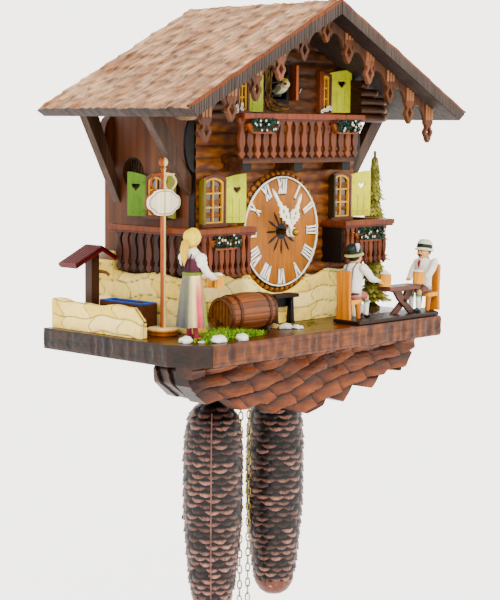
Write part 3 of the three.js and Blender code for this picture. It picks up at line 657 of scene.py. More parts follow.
# ---------------------------------------------------------------- fretwork under the rakes
def fretwork():
    """Hanging boards with keyhole arches between them, knobbed tips and diamond holes."""
    pitch, half, back, front = 26.8, 5.4, FRET_FRONT + 3.4, FRET_FRONT
    pile = Pile()
    pinks = (0x94654E, 0x8A5C48, 0xA47460, 0x805440)
    for k in range(-5, 6):
        x = k * pitch
        tip = 225.0 - 0.582 * abs(x)
        lobe = [(0, 0), (1.4, 1.2), (2.8, 2.9), (3.4, 5.2), (5.4, 7.6), (5.2, 10.0), (3.6, 11.6),
                (3.1, 13.2), (4.0, 14.8), (5.4, 16.4)]
        right = [(x + u, tip + v) for u, v in lobe]
        left = [(x - u, tip + v) for u, v in reversed(lobe[1:])]
        crest = [(x + half, under_roof(x + half) - 0.6), (x, under_roof(x) - 0.6),
                 (x - half, under_roof(x - half) - 0.6)]
        hole = [(x + u, tip + v) for u, v in ((0, 4.6), (1.5, 7.0), (2.6, 9.0), (1.5, 11.2), (0, 13.8),
                                              (-1.5, 11.2), (-2.6, 9.0), (-1.5, 7.0))]
        pile.prism(right + crest + left, "y", front, back, pinks[k % 4], holes=[hole])
        # two grooved battens on the plank above the lobe
        for off in (-3.5, 0.0, 3.5):
            low = tip + 18.5
            high = under_roof(x + off) - 1.2
            pile.prism([(x + off - 1.3, low + 1.2), (x + off, low), (x + off + 1.3, low + 1.2),
                        (x + off + 1.3, high), (x + off - 1.3, high)], "y", front + 0.3, front - 0.5,
                       0xB98A70)
    for k in range(-6, 6):
        mid = (k + 0.5) * pitch
        if abs(mid) > 140:
            continue
        a, b = mid - (pitch / 2 - half), mid + (pitch / 2 - half)
        arc = [(a + (b - a) * i / 10, under_roof(mid) - 14.5 + 7.0 * math.sin(math.pi * i / 10) ** 0.6)
               for i in range(11)]
        arc = [(px, pz + (under_roof(px) - under_roof(mid))) for px, pz in arc]
        crest = [(b, under_roof(b) - 0.6), (a, under_roof(a) - 0.6)]
        if a < 0 < b:
            crest.insert(1, (0, RIDGE - 0.6))
        pile.prism(arc + crest, "y", front + 0.8, back, 0x7E5A48)
    fret = wood("fretwork_wood", "z", rough=(0.45, 0.65), contrast=(0.55, 1.15), fine=420, long=24, bumps=0.4)
    pile.make("fretwork", fret, slot="fret_wood", replaces=["bargeboard_left", "bargeboard_right"],
              bevel=0.35)


# ---------------------------------------------------------------- house
def log_front():
    """The front wall carved as rough logs, with the doorway and the arbor hole cut through."""
    pile = Pile()
    pitch = 9.6
    # a wall of short grid cells; those over the doorway or arbor are left out
    xs = np.linspace(-95.0, 95.0, 153)
    zs = np.linspace(0.3, RIDGE - 0.3, 206)
    door = (-10.0, 9.0, 181.0, 208.0)

    def surface(x, z):
        log = z / pitch + 0.12 * lumps(x / 30, 0, z / 40)
        part = log - math.floor(log)
        bulge = (1 - (2 * part - 1) ** 2) ** 0.6
        chop = lumps(x / 9 + math.floor(log) * 7.3, 0, z / 3.4)
        fine = lumps(x / 3.2, 2, z / 1.6)
        planed = min(1.0, max(0.0, abs(x + 0.5) - 13.5, abs(z - 194.5) - 17.5) / 3)
        return (1.7 * bulge + 0.55 * chop * bulge + 0.2 * fine) * planed, bulge, chop

    index = {}
    verts, colours, faces = [], [], []
    dark, mid, pale = linear(0x4A2414), linear(0x965A34), linear(0xC68E60)
    for i, x in enumerate(xs):
        for j, z in enumerate(zs):
            if z > under_roof(x) + 2:
                continue
            h, bulge, chop = surface(x, z)
            index[i, j] = len(verts)
            verts.append((x, FRONT + 0.1 - h * 0.9, min(z, under_roof(x) - 0.2)))
            # painted shade in the grooves between the logs, painted highlight on the chopped crowns, and
            # painted shade deepening upwards into the gable under the roof
            tone = blended(dark, mid, bulge * 0.9)
            tone = blended(tone, pale, 0.55 * bulge * (0.35 + chop))
            colours.append(tinted(tone, 1 - 0.62 * unit((z - 150) / 45)))
    for i in range(len(xs) - 1):
        for j in range(len(zs) - 1):
            corners = [(i, j), (i + 1, j), (i + 1, j + 1), (i, j + 1)]
            if not all(c in index for c in corners):
                continue
            cx, cz = (xs[i] + xs[i + 1]) / 2, (zs[j] + zs[j + 1]) / 2
            if door[0] < cx < door[1] and door[2] < cz < door[3]:
                continue
            if math.hypot(cx, cz - DIAL_Z) < 7:
                continue
            faces.append(tuple(index[c] for c in corners))
    pile.add(verts, faces, colours)
    return pile


def house():
    walls = wood("wall_wood", "x", stops=[(0.25, 0x4E2716), (0.5, 0x7C4830), (0.72, 0x96634A)], fine=210,
                 long=9, rough=(0.42, 0.6), bumps=0.3)
    side = wood("side_wall_wood", "z", stops=[(0.2, 0x5E3322), (0.45, 0x7F4E38), (0.62, 0x8C5A40),
                                              (0.8, 0x9B7056)], fine=120, long=6, rough=(0.4, 0.55),
                bumps=0.15, blotch=16)
    dress(side, "side_wall_left", "side_wall_right", edge=0.5)
    dress(walls, "back_panel", edge=0.4)
    # the front wall board behind the logs is painted near black, as the shade behind the logs and inside the
    # doorway
    inner = wood("painted_shade_inner_wood", "x", stops=[(0.3, 0x1A0C07), (0.7, 0x3A2013)], fine=200, long=12)
    dress(inner, "front_wall", edge=0.2)
    logs = wood("log_wood", "x", rough=(0.42, 0.62), contrast=(0.5, 1.2), fine=420, long=30, bumps=0.45)
    log_front().make("front_logs", logs, slot="log_wood", smooth=70)
    # stepped log ends under the eaves
    ends = wood("log_end_wood", "x", rough=(0.45, 0.65), contrast=(0.55, 1.15), fine=420, long=30, bumps=0.45)
    pile = Pile()
    rng = random.Random(11)
    for z in range(167, 196, 7):
        tip = min((RIDGE - z - 5) / SLOPE, 118.0)
        for side_sign in (-1, 1):
            verts, colours = [], []
            steps, around = 12, 14
            for i in range(steps + 1):
                x = 82 + (tip - 82) * i / steps
                shrink = 1.0 if i < steps else 0.86
                for angle in angles(around):
                    cy, cz = math.cos(angle), math.sin(angle)
                    ry = 10 * shrink * bent(cy, 0.55)
                    rz = 3.55 * shrink * bent(cz, 0.7)
                    bump_y = 0.5 * lumps(x / 6, angle, z)
                    verts.append((side_sign * x, -113.3 + ry - (bump_y if cy < 0 else 0), z + 0.1 + rz))
                    base = 0x6B4328 if i < steps - 1 else 0xB79A84
                    colours.append(tinted(linear(base), 0.75 + 0.4 * rng.random()))
            ends_closed = [tuple(range(around)), tuple(steps * around + j for j in range(around))]
            pile.add(verts, ring_faces(steps + 1, around) + ends_closed, colours)
    pile.make("log_corbels", ends, slot="log_wood", replaces=["corbels_left", "corbels_right"], smooth=50)
    braces = wood("brace_wood", "z", stops=[(0.2, 0x3E2A20), (0.45, 0x6E5142), (0.62, 0x7F6253),
                                            (0.8, 0x94786A)], fine=190, long=9, rough=(0.42, 0.6))
    dress(braces, "brace_front_left", "brace_front_right", "brace_rear_left", "brace_rear_right", edge=0.7)
    # a ring and grille bars behind each side wall's sound hole, painted dark as the shade inside the hole
    for sign, tag in ((-1, "left"), (1, "right")):
        grille = Pile()
        for k in range(-3, 4):
            reach = math.sqrt(max(0, 121 - (k * 3) ** 2))
            y = -33.6 + k * 3
            grille.tube([(sign * 90.6, y, 122 - reach), (sign * 90.6, y, 122 + reach)], 0.5, 0x2A1A10, 8)
        ring = [(sign * 95.0, -33.6 + 11.6 * math.cos(a), 122 + 11.6 * math.sin(a))
                for a in np.linspace(0, 2 * math.pi, 40, endpoint=False)]
        grille.tube(ring, 0.7, 0x3A2114, 8, closed=True)
        grille.make("sound_grille_" + tag, logs, slot="wall_wood")


# ---------------------------------------------------------------- shelf and apron
def shelf():
    """A thick plank whose edge is chipped all round with upright gouge cuts."""
    cx, cy = 21.0, 28.0
    outline = [(-SHELF_HALF, 0), (-SHELF_HALF, cy - SHELF_DEPTH), (cx - SHELF_HALF, -SHELF_DEPTH),
               (SHELF_HALF - cx, -SHELF_DEPTH), (SHELF_HALF, cy - SHELF_DEPTH), (SHELF_HALF, 0)]
    walk = []
    for (x0, y0), (x1, y1) in zip(outline, outline[1:]):
        span = math.hypot(x1 - x0, y1 - y0)
        steps = max(2, int(span / 0.9))
        for i in range(steps):
            walk.append((x0 + (x1 - x0) * i / steps, y0 + (y1 - y0) * i / steps, x1 - x0, y1 - y0))
    walk.append((SHELF_HALF, 0, 0, SHELF_DEPTH))
    rows = 15
    grid = np.zeros((rows, len(walk), 3))
    paint = np.zeros((rows, len(walk), 4))
    pale, mid, dark, grey = (linear(c) for c in (0xA86A3C, 0x74401F, 0x33140C, 0x463A36))
    travelled = 0.0
    last = walk[0]
    for i, (x, y, dx, dy) in enumerate(walk):
        travelled += math.hypot(x - last[0], y - last[1])
        last = (x, y)
        norm = Vector((-dy, dx)).normalized()
        if norm.dot(Vector((x, y + SHELF_DEPTH / 2))) < 0:
            norm = -norm
        for r in range(rows):
            share = r / (rows - 1)
            z = -SHELF_THICK * share
            chip = travelled / 9.0 + 0.35 * lumps(travelled / 21, 0, 1)
            part = chip - math.floor(chip)
            number = math.floor(chip)
            hollow = 0.35 + 1.6 * lumps(number * 3.7, 1, 2)
            oval = max(0.0, 1 - ((part - 0.5) / 0.42) ** 2
                       - ((share - 0.5) / 0.46) ** 2) ** 0.5 * unit(hollow)
            rim = max(0.0, 1 - share * 6) ** 1.5 + max(0.0, (share - 0.83) * 6) ** 1.5
            ripple = lumps(travelled / 5, share * 9, 2)
            cut = 0.3 + 0.9 * rim + 1.3 * oval + 0.35 * ripple + 0.2 * lumps(travelled / 9, share * 24, 4)
            cut = max(0.05, cut)
            grid[r, i] = (x - norm.x * cut, y - norm.y * cut, z)
            # painted light: the front edge has paler lit patches, with painted shade in the gouged ovals and
            # along the notched top and bottom rows; the sides are grey-brown and take the same painted shade
            lit = 0.5 + 0.9 * lumps(travelled / 11, share * 2.5, 11)
            if abs(dx) > abs(dy):
                paint[r, i] = blended(blended(mid, pale, lit), dark, 0.85 * oval + 0.3 * rim)
            else:
                tone = blended(grey, mid, 0.35 * max(0, lit))
                paint[r, i] = blended(tone, dark, 0.45 * oval + 0.4 * max(0, 0.5 - lit))
    count = len(walk)
    for tag, along, shown in (("front", "x", True), ("sides", "y", False)):
        pile = Pile()
        columns = [c for c in range(count - 1) if (abs(walk[c][2]) > abs(walk[c][3])) == shown]
        faces = [(r * count + c, r * count + c + 1, (r + 1) * count + c + 1, (r + 1) * count + c)
                 for r in range(rows - 1) for c in columns]
        used = sorted({i for face in faces for i in face})
        place = {i: n for n, i in enumerate(used)}
        flat, tints = grid.reshape(-1, 3), paint.reshape(-1, 4)
        faces = [tuple(place[i] for i in face) for face in faces]
        pile.add([flat[i] for i in used], faces, [tints[i] for i in used])
        edge = wood("shelf_edge_" + tag, along, rough=(0.3, 0.5), contrast=(0.45, 1.3), fine=520, long=14,
                    bumps=0.4, coat=0.2)
        pile.make("shelf_edge_" + tag, edge, slot="shelf_wood", smooth=60)
    # the board between the carved edges, notched for the back panel and open over the well
    board = Pile()
    notch = [(89.8, 0.0), (89.8, -5.3), (-89.8, -5.3), (-89.8, 0.0)]
    well = [(-46, -82), (46, -82), (46, -16), (-46, -16)]
    # the top is left in the wood's tone; the underside is painted darker, as shade under the board
    for z, edge_line, tone in ((0.0, grid[0], 0x8A5230), (-SHELF_THICK, grid[-1], 0x4A2A18)):
        border = [(x, y) for x, y, _ in edge_line] + notch
        loops = [[Vector((x, y, 0)) for x, y in loop] for loop in (border, well)]
        board.add([(p.x, p.y, z) for loop in loops for p in loop], tessellate_polygon(loops), tone)
    back_line = [(SHELF_HALF - 0.6, 0.0)] + notch + [(0.6 - SHELF_HALF, 0.0)]
    # the walls of the well are painted dark, as the shade inside it
    for line, tone in ((well + well[:1], 0x3A2012), (back_line, 0x5A3420)):
        for (x0, y0), (x1, y1) in zip(line, line[1:]):
            wall = [(x0, y0, 0), (x1, y1, 0), (x1, y1, -SHELF_THICK), (x0, y0, -SHELF_THICK)]
            board.add(wall, [(0, 1, 2, 3)], tone)
    top = wood("shelf_top_wood", "x", rough=(0.22, 0.42), contrast=(0.45, 1.25), fine=150, long=7,
               bumps=0.25, coat=0.4)
    board.make("shelf_board", top, slot="shelf_wood", replaces=["base_shelf"], smooth=30)


def apron():
    """The hanging board under the shelf, carved as overlapping leaves that run out to the lower edge."""
    edge = [(0, -71), (17, -66), (24, -60), (42, -66), (55.7, -54), (78.4, -58.6), (98.6, -45.3),
            (120, -48.5), (136, -34), (131, -23)]
    lower = sorted([(-x, z) for x, z in edge[1:-1]] + [(x, z) for x, z in edge[:-1]])
    count, rows = 330, 72
    xs = np.linspace(-136, 136, count)
    foot = np.interp(xs, [p[0] for p in lower], [p[1] for p in lower])
    grid = np.zeros((rows, count, 3))
    paint = np.zeros((rows, count, 4))
    dark, mid, pale, grey = (linear(c) for c in (0x1E0E08, 0x74401C, 0xB06A30, 0x4A3026))
    for i, x in enumerate(xs):
        for r in range(rows):
            share = r / (rows - 1)
            z = APRON_TOP + (min(foot[i], APRON_TOP - 1) - APRON_TOP) * share
            # long leaf blades lie in rows that rise to the right, each blade broken into slanting facets
            drop = APRON_TOP - z
            layer = (drop + 0.2 * x + 3.0 * math.sin(x / 29) + 3.4 * lumps(x / 24, drop / 14, 0)) / 12.5 + 3
            level = math.floor(layer)
            down = layer - level
            blade = (x - 0.6 * drop + 5.0 * lumps(x / 20, drop / 8, 3)) / 37.0 + 0.43 * level
            step = blade - math.floor(blade)
            cut = 4.6 * (1 - down) ** 1.3 + 3.0 * (1 - step) ** 3 + 0.4 * abs(lumps(x / 6, z / 4, level))
            fade = unit((drop - 5.0) / 2.5)
            y = -142.9 + cut * fade
            if drop < 4.8:
                nick = abs(math.sin(x * math.pi / 24.0 + 0.6)) ** 0.3
                y = -142.9 + 1.6 * (1 - nick) + 0.9 * (drop > 3.8)
            grid[r, i] = (x, min(y, -127), z)
            lit = 0.25 + 0.5 * down + 0.25 * step + 0.5 * lumps(x / 17, z / 6, 7)
            shadow = max((1 - down) ** 2.6, 0.9 * (1 - step) ** 7) * fade
            tone = blended(blended(mid, pale, lit), dark, 1.15 * shadow)
            if x < -108:
                tone = blended(tone, grey, min(0.7, (-108 - x) / 26))
            paint[r, i] = tone
    pile = Pile()
    pile.slab(grid, paint, rim_places(grid, lambda x, y, z: (x, APRON_BACK, z)), linear(0x4A2A18))
    leaves = wood("apron_wood", "x", rough=(0.33, 0.52), contrast=(0.55, 1.2), fine=260, long=40, bumps=0.4,
                  coat=0.2)
    pile.make("apron_leaves", leaves, slot="shelf_wood", smooth=45)
    cheeks = Pile()
    for sign in (-1, 1):
        rows, cols = 24, 40
        grid = np.zeros((rows, cols, 3))
        paint = np.zeros((rows, cols, 4))
        for r in range(rows):
            for c in range(cols):
                y = -100 - 26.5 * c / (cols - 1)
                z = APRON_TOP + (-46.0 - APRON_TOP) * r / (rows - 1)
                facet = (y + 100) / -13.0 + (z + 16) / 30
                part = facet - math.floor(facet)
                ledge = 131 + max(0, min(5, (-18 - z) * 0.9)) - max(0, (-34 - z) * 1.1)
                x = sign * (ledge - 2.2 * (1 - part) - 0.2 * abs(lumps(y / 5, z / 5, 2)))
                grid[r, c] = (x, y, z)
                # each facet is painted darker on its deep side, as shade
                paint[r, c] = blended(linear(0x3A2218), linear(0x6E4834), part)
        cheeks.slab(grid, paint, rim_places(grid, lambda x, y, z: (sign * 112.0, y, z)))
    cheeks.make("apron_cheeks", leaves, slot="shelf_wood", replaces=["apron"], smooth=45)


# ---------------------------------------------------------------- balconies
def baluster_outline(u, foot, top, wide):
    """One flat-sawn baluster: pointed foot, narrow waist, full shoulder and a notched head."""
    tall = top - foot
    right = [(0.0, -0.02), (0.2, 0.04), (0.36, 0.09), (0.36, 0.135), (0.2, 0.17), (0.18, 0.24),
             (0.33, 0.33), (0.38, 0.44), (0.33, 0.56), (0.2, 0.7), (0.18, 0.8), (0.3, 0.87), (0.42, 0.92),
             (0.43, 1.02)]
    side = [(u + du * wide, foot + dv * tall) for du, dv in right]
    other = [(u - du * wide, foot + dv * tall) for du, dv in reversed(right[1:])]
    return side + other


def upper_balcony():
    rail_z, front, left, right, foot = 169.6, -133.7, -76.0, 69.0, 135.0
    pile = Pile()
    count = 16
    pitch = (right - left) / count
    rng = random.Random(2)
    tones = (0x94563A, 0x824A32, 0xA26240, 0x8A503C)
    for i in range(count):
        u = left + pitch * (i + 0.5)
        out = front + 3 - 0.25 * rng.random()
        pile.prism(baluster_outline(u, foot, rail_z - 4, pitch), "y", out, out + 2.6, tones[i % 4])
    pile.box(left + 1, right - 1, front + 5.7, front + 7.2, foot + 3.4, foot + 5.6, 0x6E3E28)
    pile.box(left + 1, right - 1, front + 5.7, front + 7.2, rail_z - 9, rail_z - 6.4, 0x6E3E28)
    pile.box(left + 4, right + 5, front, front + 8, rail_z - 4.4, rail_z, 0xA65C24)
    pile.box(left + 4, right + 5, front + 2, front + 7, rail_z - 6.0, rail_z - 4.2, 0x8A4A26)
    finish = wood("rail_wood_upright", "z", rough=(0.35, 0.55), contrast=(0.6, 1.18), fine=380, long=26,
                  bumps=0.35, coat=0.15)
    pile.make("upper_balcony_front", finish, slot="rail_wood", replaces=["upper_balustrade"], bevel=0.3)
    beams = wood("balcony_beam_wood", "x", stops=[(0.25, 0x3C1F11), (0.5, 0x6E4327), (0.75, 0x99633D)],
                 fine=240, long=12, rough=(0.4, 0.6))
    dress(beams, "upper_balcony_floor", edge=0.5)
    # dark ends of the joists
    pile = Pile()
    for x in (-60, 0, 60):
        pile.box(x - 5.2, x + 5.2, front + 8.4, front + 9.1, 124.2, 131.6, 0x241409)
    pile.make("joist_ends", beams_dark(), slot="rail_wood", bevel=0.3)


def beams_dark():
    return wood("joist_wood", "z", rough=(0.5, 0.7), fine=300, long=30)


def flower_box(pile, x0, x1, y, z0, z1, seed):
    """Adds a shallow trough to the pile; gives back the leaves and small blooms that fill it."""
    mid, half = (x0 + x1) / 2, (x1 - x0) / 2
    outline = [(x0 - 3.5, z0 + 5), (x0 - 1.5, z0 + 1.5), (x0 + 3, z0 - 1.6), (x1 - 3, z0 - 1.6),
               (x1 + 1.5, z0 + 1.5), (x1 + 3.5, z0 + 5), (x1 + 3.0, z0 + 6.2), (x0 - 3.0, z0 + 6.2)]
    pile.prism(outline, "y", y - 0.2, y + 3.4, 0xB06A36)
    rng = random.Random(seed)
    leaves = Pile()
    for _ in range(230):
        px, pz = mid + half * (2 * rng.random() - 1), z0 + (z1 - z0) * rng.random()
        green = rng.choice((0x0C4A40, 0x126050, 0x083428, 0x1A7A64, 0x0E5A4A))
        out = y - 0.6 - 2.2 * rng.random() * math.sin(math.pi * (pz - z0) / (z1 - z0 + 0.01))
        size = 0.9 + 0.8 * rng.random()
        spin = lean(rng.uniform(-60, 60), rng.uniform(0, 360), rng.uniform(-60, 60))
        blade = [(0, 0, -size), (size * 0.6, 0.3, 0), (0, 0, size * 1.2), (-size * 0.6, 0.3, 0),
                 (0, -0.35, 0)]
        place = Vector((px, out, pz))
        sides = [(0, 1, 4), (1, 2, 4), (2, 3, 4), (3, 0, 4), (3, 2, 1, 0)]
        leaves.add([spin @ Vector(p) + place for p in blade], sides, green)
    for _ in range(13):
        px, pz = mid + half * (1.9 * rng.random() - 0.95), z0 + 1 + (z1 - z0 - 1.5) * rng.random()
        bloom = rng.choice((0xF6F6F0, 0xE8F2EA, 0xCFE4DA, 0xF0F0DA))
        for petal in angles(5):
            angle = petal + rng.random()
            leaves.ball((px + 0.5 * math.cos(angle), y - 3.0, pz + 0.5 * math.sin(angle)),
                        (0.42, 0.3, 0.42), bloom, wide=6, high=4)
        leaves.ball((px, y - 3.3, pz), (0.35, 0.25, 0.35), 0xD8A838, wide=6, high=4)
    return leaves


def flowers_cluster(x, y, z, wide, seed):
    """A loose bunch of white five-petalled flowers with a few leaves."""
    pile = Pile()
    rng = random.Random(seed)
    for _ in range(9):
        px, pz = x + wide * rng.uniform(-1, 1), z + 2.6 * rng.uniform(-1, 1.2)
        out = y - 1.5 - 2 * rng.random()
        for petal in angles(5):
            angle = petal + rng.random()
            pile.ball((px + 0.95 * math.cos(angle), out, pz + 0.95 * math.sin(angle)), (0.8, 0.4, 0.8),
                      0xFBF8F0, wide=8, high=5)
        pile.ball((px, out - 0.4, pz), (0.5, 0.35, 0.5), 0xC77A5A, wide=6, high=4)
    for _ in range(14):
        px, pz = x + wide * rng.uniform(-1.1, 1.1), z + rng.uniform(-3, 2)
        pile.ball((px, y - 0.9, pz), (0.9, 0.4, 1.6), 0x3C4A2A, lean(0, rng.uniform(-60, 60), 0), wide=6,
                  high=4)
    return pile


def lower_balconies():
    """A rail round each front corner of the house over flat-sawn balusters."""
    rail_z, foot, front, inner, outer, rear = 82.0, 45.5, -131.0, 54.0, 119.0, -31.0
    finish = wood("low_rail_wood", "z", rough=(0.38, 0.58), contrast=(0.6, 1.15), fine=380, long=26,
                  bumps=0.35)
    tones = (0x8A4C34, 0x96563A, 0x74402C, 0x9E5E40)
    box_leaves = painted("leaf_paint", rough=(0.4, 0.6))
    pile = Pile()
    pitch = (outer - 7 - inner - 3) / 9
    for i in range(9):
        u = -outer + 7 + pitch * (i + 0.5)
        pile.prism(baluster_outline(u, foot, rail_z - 4, pitch), "y", front + 2.4, front + 5, tones[i % 4])
    pile.box(-outer + 7, -inner - 3, front + 5, front + 6.3, foot + 4, foot + 6.4, 0x5E3422)
    span = rear - front - 5
    side_tones = (0x6A4238, 0x7A4C3C, 0x5E3A30)
    for i in range(11):
        outline = baluster_outline(rear - span * (i + 0.5) / 11, foot, rail_z - 4, span / 11)
        pile.prism(outline, "x", -outer + 7, -outer + 9.6, side_tones[i % 3])
    pile.box(-outer + 9.6, -outer + 10.9, front + 5, rear, foot + 4, foot + 6.4, 0x5E3422)
    # mitred hand rail following the corner
    rail = [(-inner - 0.2, front), (-outer, front), (-outer, rear), (-outer + 9, rear),
            (-outer + 9, front + 9), (-inner - 9, front + 9), (-inner - 9, -103.4), (-inner - 0.2, -103.4)]
    pile.prism(rail, "z", rail_z - 4, rail_z, 0x9C5830)
    under = [(x + (0.9 if x < -100 else 0), y + (0.9 if y < -100 else 0)) for x, y in rail]
    pile.prism(under, "z", rail_z - 5.6, rail_z - 3.9, 0x8A4A28)
    # board that closes the end beside the dial, painted dark as the shade there
    pile.prism([(-inner - 1.4, front + 5.4), (-inner - 3.8, front + 5.4), (-inner - 3.8, -103.4),
                (-inner - 1.4, -103.4)], "z", foot + 2, rail_z - 4, 0x3A1E12)
    floor = [(-inner - 4, front + 6.4), (-outer + 11, front + 6.4), (-outer + 11, rear), (-95.3, rear),
             (-95.3, -103.4), (-inner - 4, -103.4)]
    pile.prism(floor, "z", foot + 1.2, foot + 3.6, 0x4E2A1A)
    right = pile.mirrored()
    pile.make("lower_balcony_boards_left", finish, slot="rail_wood", replaces=["lower_balcony_left"],
              bevel=0.3)
    right.make("lower_balcony_boards_right", finish, slot="rail_wood", replaces=["lower_balcony_right"],
               bevel=0.3)
    # left, right, front, foot, top and seed of each box: two below and two on the upper balcony
    boxes = ((-100, -72, front + 2.2, 67.0, 77.5, 4), (73, 106, front + 2.2, 65.5, 76.0, 6),
             (-65, -36, -134.3, 155.5, 165.2, 8), (36, 66, -134.3, 155.5, 165.2, 9))
    troughs = Pile()
    plants = [flower_box(troughs, *box) for box in boxes]
    troughs.make("flower_box_troughs", finish, slot="rail_wood", bevel=0.3)
    for n, leaves in enumerate(plants):
        leaves.make(f"flower_box_plants_{n + 1}", box_leaves, slot="window_yellow", smooth=40)


# ---------------------------------------------------------------- windows and shutters
def window(pile, glass, x0, x1, z0, z1, y, arch=3.5):
    """An arched frame with a yellow sash, a post, two cross bars and dark red panes."""
    casing, sash = 0x8A5A4A, 0xE8B860

    def arched(inset):
        top = z1 - inset
        left, right = x0 + inset, x1 - inset
        crown = [(right + (left - right) * i / 10, top - arch + arch * math.sin(math.pi * i / 10) ** 0.7)
                 for i in range(11)]
        return [(left, z0 + inset * 0.6), (right, z0 + inset * 0.6)] + crown

    pile.prism(arched(0), "y", y, y - 3.6, casing, holes=[arched(2.2)])
    pile.prism(arched(1.9), "y", y, y - 2.6, sash, holes=[arched(4.0)])
    mid, low, high = (x0 + x1) / 2, z0 + 2.6, z1 - 3.6
    pile.box(mid - 0.7, mid + 0.7, y, y - 2.2, low, high + 1.5, sash)
    for share in (1, 2):
        at = low + (high - low) * share / 3
        pile.box(x0 + 4.0, x1 - 4.0, y, y - 2.1, at - 0.6, at + 0.6, sash)
    pile.box(x0 - 1.2, x1 + 1.2, y, y - 4.6, z0 - 1.6, z0 + 0.4, casing)
    glass.prism(arched(3.0), "y", y - 0.2, y - 0.9, 0x5A1E12)


def heart(cx, cz, size):
    """The usual heart curve, about 2 * size wide."""
    points = []
    for t in angles(20):
        rise = 13 * math.cos(t) - 5 * math.cos(2 * t) - 2 * math.cos(3 * t) - math.cos(4 * t)
        points.append((cx + size * 0.062 * 16 * math.sin(t) ** 3, cz + size * 0.062 * rise))
    return points


def shutter(pile, hinge, wide, z0, z1, y, opening, colour, heart_size=3.6):
    """A leaf hung at hinge (x), swung out by opening degrees, with a curved head and a heart cut through."""
    sign = 1 if wide > 0 else -1
    span, tall = abs(wide), z1 - z0
    face, rise = 0.85, 3.0
    head = [(span * i / 8, z1 - rise + rise * math.sin(math.pi / 2 * i / 8)) for i in range(8, -1, -1)]
    start = len(pile.verts)
    pile.prism([(0, z0), (span, z0)] + head, "y", -face, face, colour,
               holes=[heart(span * 0.55, z0 + tall * 0.68, heart_size)])
    for part in (0.12, 0.88):
        low = z0 + tall * part * 0.8
        pile.box(span * 0.1, span * 0.9, -face, -face - 0.5, low + 1.0, low + 2.2, colour)
    for k in (1, 2):
        at = span * k / 3
        pile.box(at - 0.14, at + 0.14, -face - 0.12, -face + 0.1, z0 + 1, z0 + tall * 0.5, 0x8C9440)
    turn = Matrix.Rotation(math.radians(-opening * sign), 4, "Z")
    mirror = Matrix.Diagonal((sign, 1, 1, 1))
    place = Matrix.Translation((hinge, y, 0))
    pile.moved(place @ turn @ mirror, start)


def windows():
    frames, glass, leaves = Pile(), Pile(), Pile()
    for x0, x1 in ((-90.1, -63.6), (63.6, 90.1)):
        window(frames, glass, x0, x1, 83, 122, -103.3)
    # lower shutters: one near edge-on and one thrown wide beside each window
    shutter(leaves, -90.6, -8.5, 84, 120, -104.6, 72, 0x9A8A3C, heart_size=0.1)
    shutter(leaves, -62.8, 19, 84, 122.5, -104.8, 14, 0xD6DA84)
    shutter(leaves, 63.0, -7.5, 84, 120, -104.6, 80, 0x5E4A20, heart_size=0.1)
    shutter(leaves, 90.8, 22, 84, 122.5, -104.8, 10, 0xE2DE80)
    # upper windows peep out beside the nest and behind the right shutter
    window(frames, glass, -52, -38, 171, 203, -103.3, arch=1.5)
    window(frames, glass, 47, 62, 171, 204, -103.3, arch=1.5)
    shutter(leaves, -39.6, 15.5, 171, 200, -105.0, 12, 0xC2CE74, heart_size=0.1)
    shutter(leaves, 60.5, 23.5, 171.5, 207, -105.0, 12, 0xD8DA7C, heart_size=4.2)
    frames.box(46.0, 51.0, -103.3, -107.5, 170.5, 205, 0xA5603A)
    # side window and its shutter on each side wall
    for sign in (-1, 1):
        side_parts = (Pile(), Pile(), Pile())
        window(side_parts[0], side_parts[1], 52, 74, 88, 122, 0)
        shutter(side_parts[2], 51, -18, 88, 123, -1.2, 12, 0x86A834, heart_size=4.2)
        shutter(side_parts[2], 75, 12, 88, 123, -1.2, 16, 0xA8A850, heart_size=0.1)
        face = Matrix(((0, -sign, 0, sign * WALL_HALF), (-1, 0, 0, 0), (0, 0, 1, 0), (0, 0, 0, 1)))
        for whole, part in zip((frames, glass, leaves), side_parts):
            whole.take(part.moved(face))
    sash = painted("sash_paint", rough=(0.4, 0.58), contrast=(0.8, 1.08))
    frames.make("window_frames", sash, slot="window_yellow", replaces=["window_left", "window_right"],
                bevel=0.25)
    panes = Shader("dark_panes", Coat_Weight=0.8, Coat_Roughness=0.08)
    cloud = panes.mottle((90, 90, 90), 3)
    panes.join(panes.ramp(cloud, [(0.3, 0x2C0E08), (0.7, 0x6A2A1A)]), "Base Color")
    panes.rough(cloud, 0.12, 0.3)
    glass.make("window_panes", panes.mat, slot="window_yellow")
    shutter_paint = painted("shutter_paint", rough=(0.45, 0.65), contrast=(0.78, 1.08), fine=300)
    leaves.make("shutters", shutter_paint, slot="window_yellow", bevel=0.25)


# ---------------------------------------------------------------- dial and hands
def stroke(pile, points, width, y0, y1, colour):
    """A flat bar of given width along points in X and Z."""
    for (ax, az), (bx, bz) in zip(points, points[1:]):
        along = Vector((bx - ax, bz - az))
        size = along.length
        if size < 1e-6:
            continue
        side = Vector((-along.y, along.x)) / size * width / 2
        reach = along / size * width * 0.35
        corners = [(ax - reach.x + side.x, az - reach.y + side.y),
                   (ax - reach.x - side.x, az - reach.y - side.y),
                   (bx + reach.x - side.x, bz + reach.y - side.y),
                   (bx + reach.x + side.x, bz + reach.y + side.y)]
        pile.prism(corners, "y", y0, y1, colour)


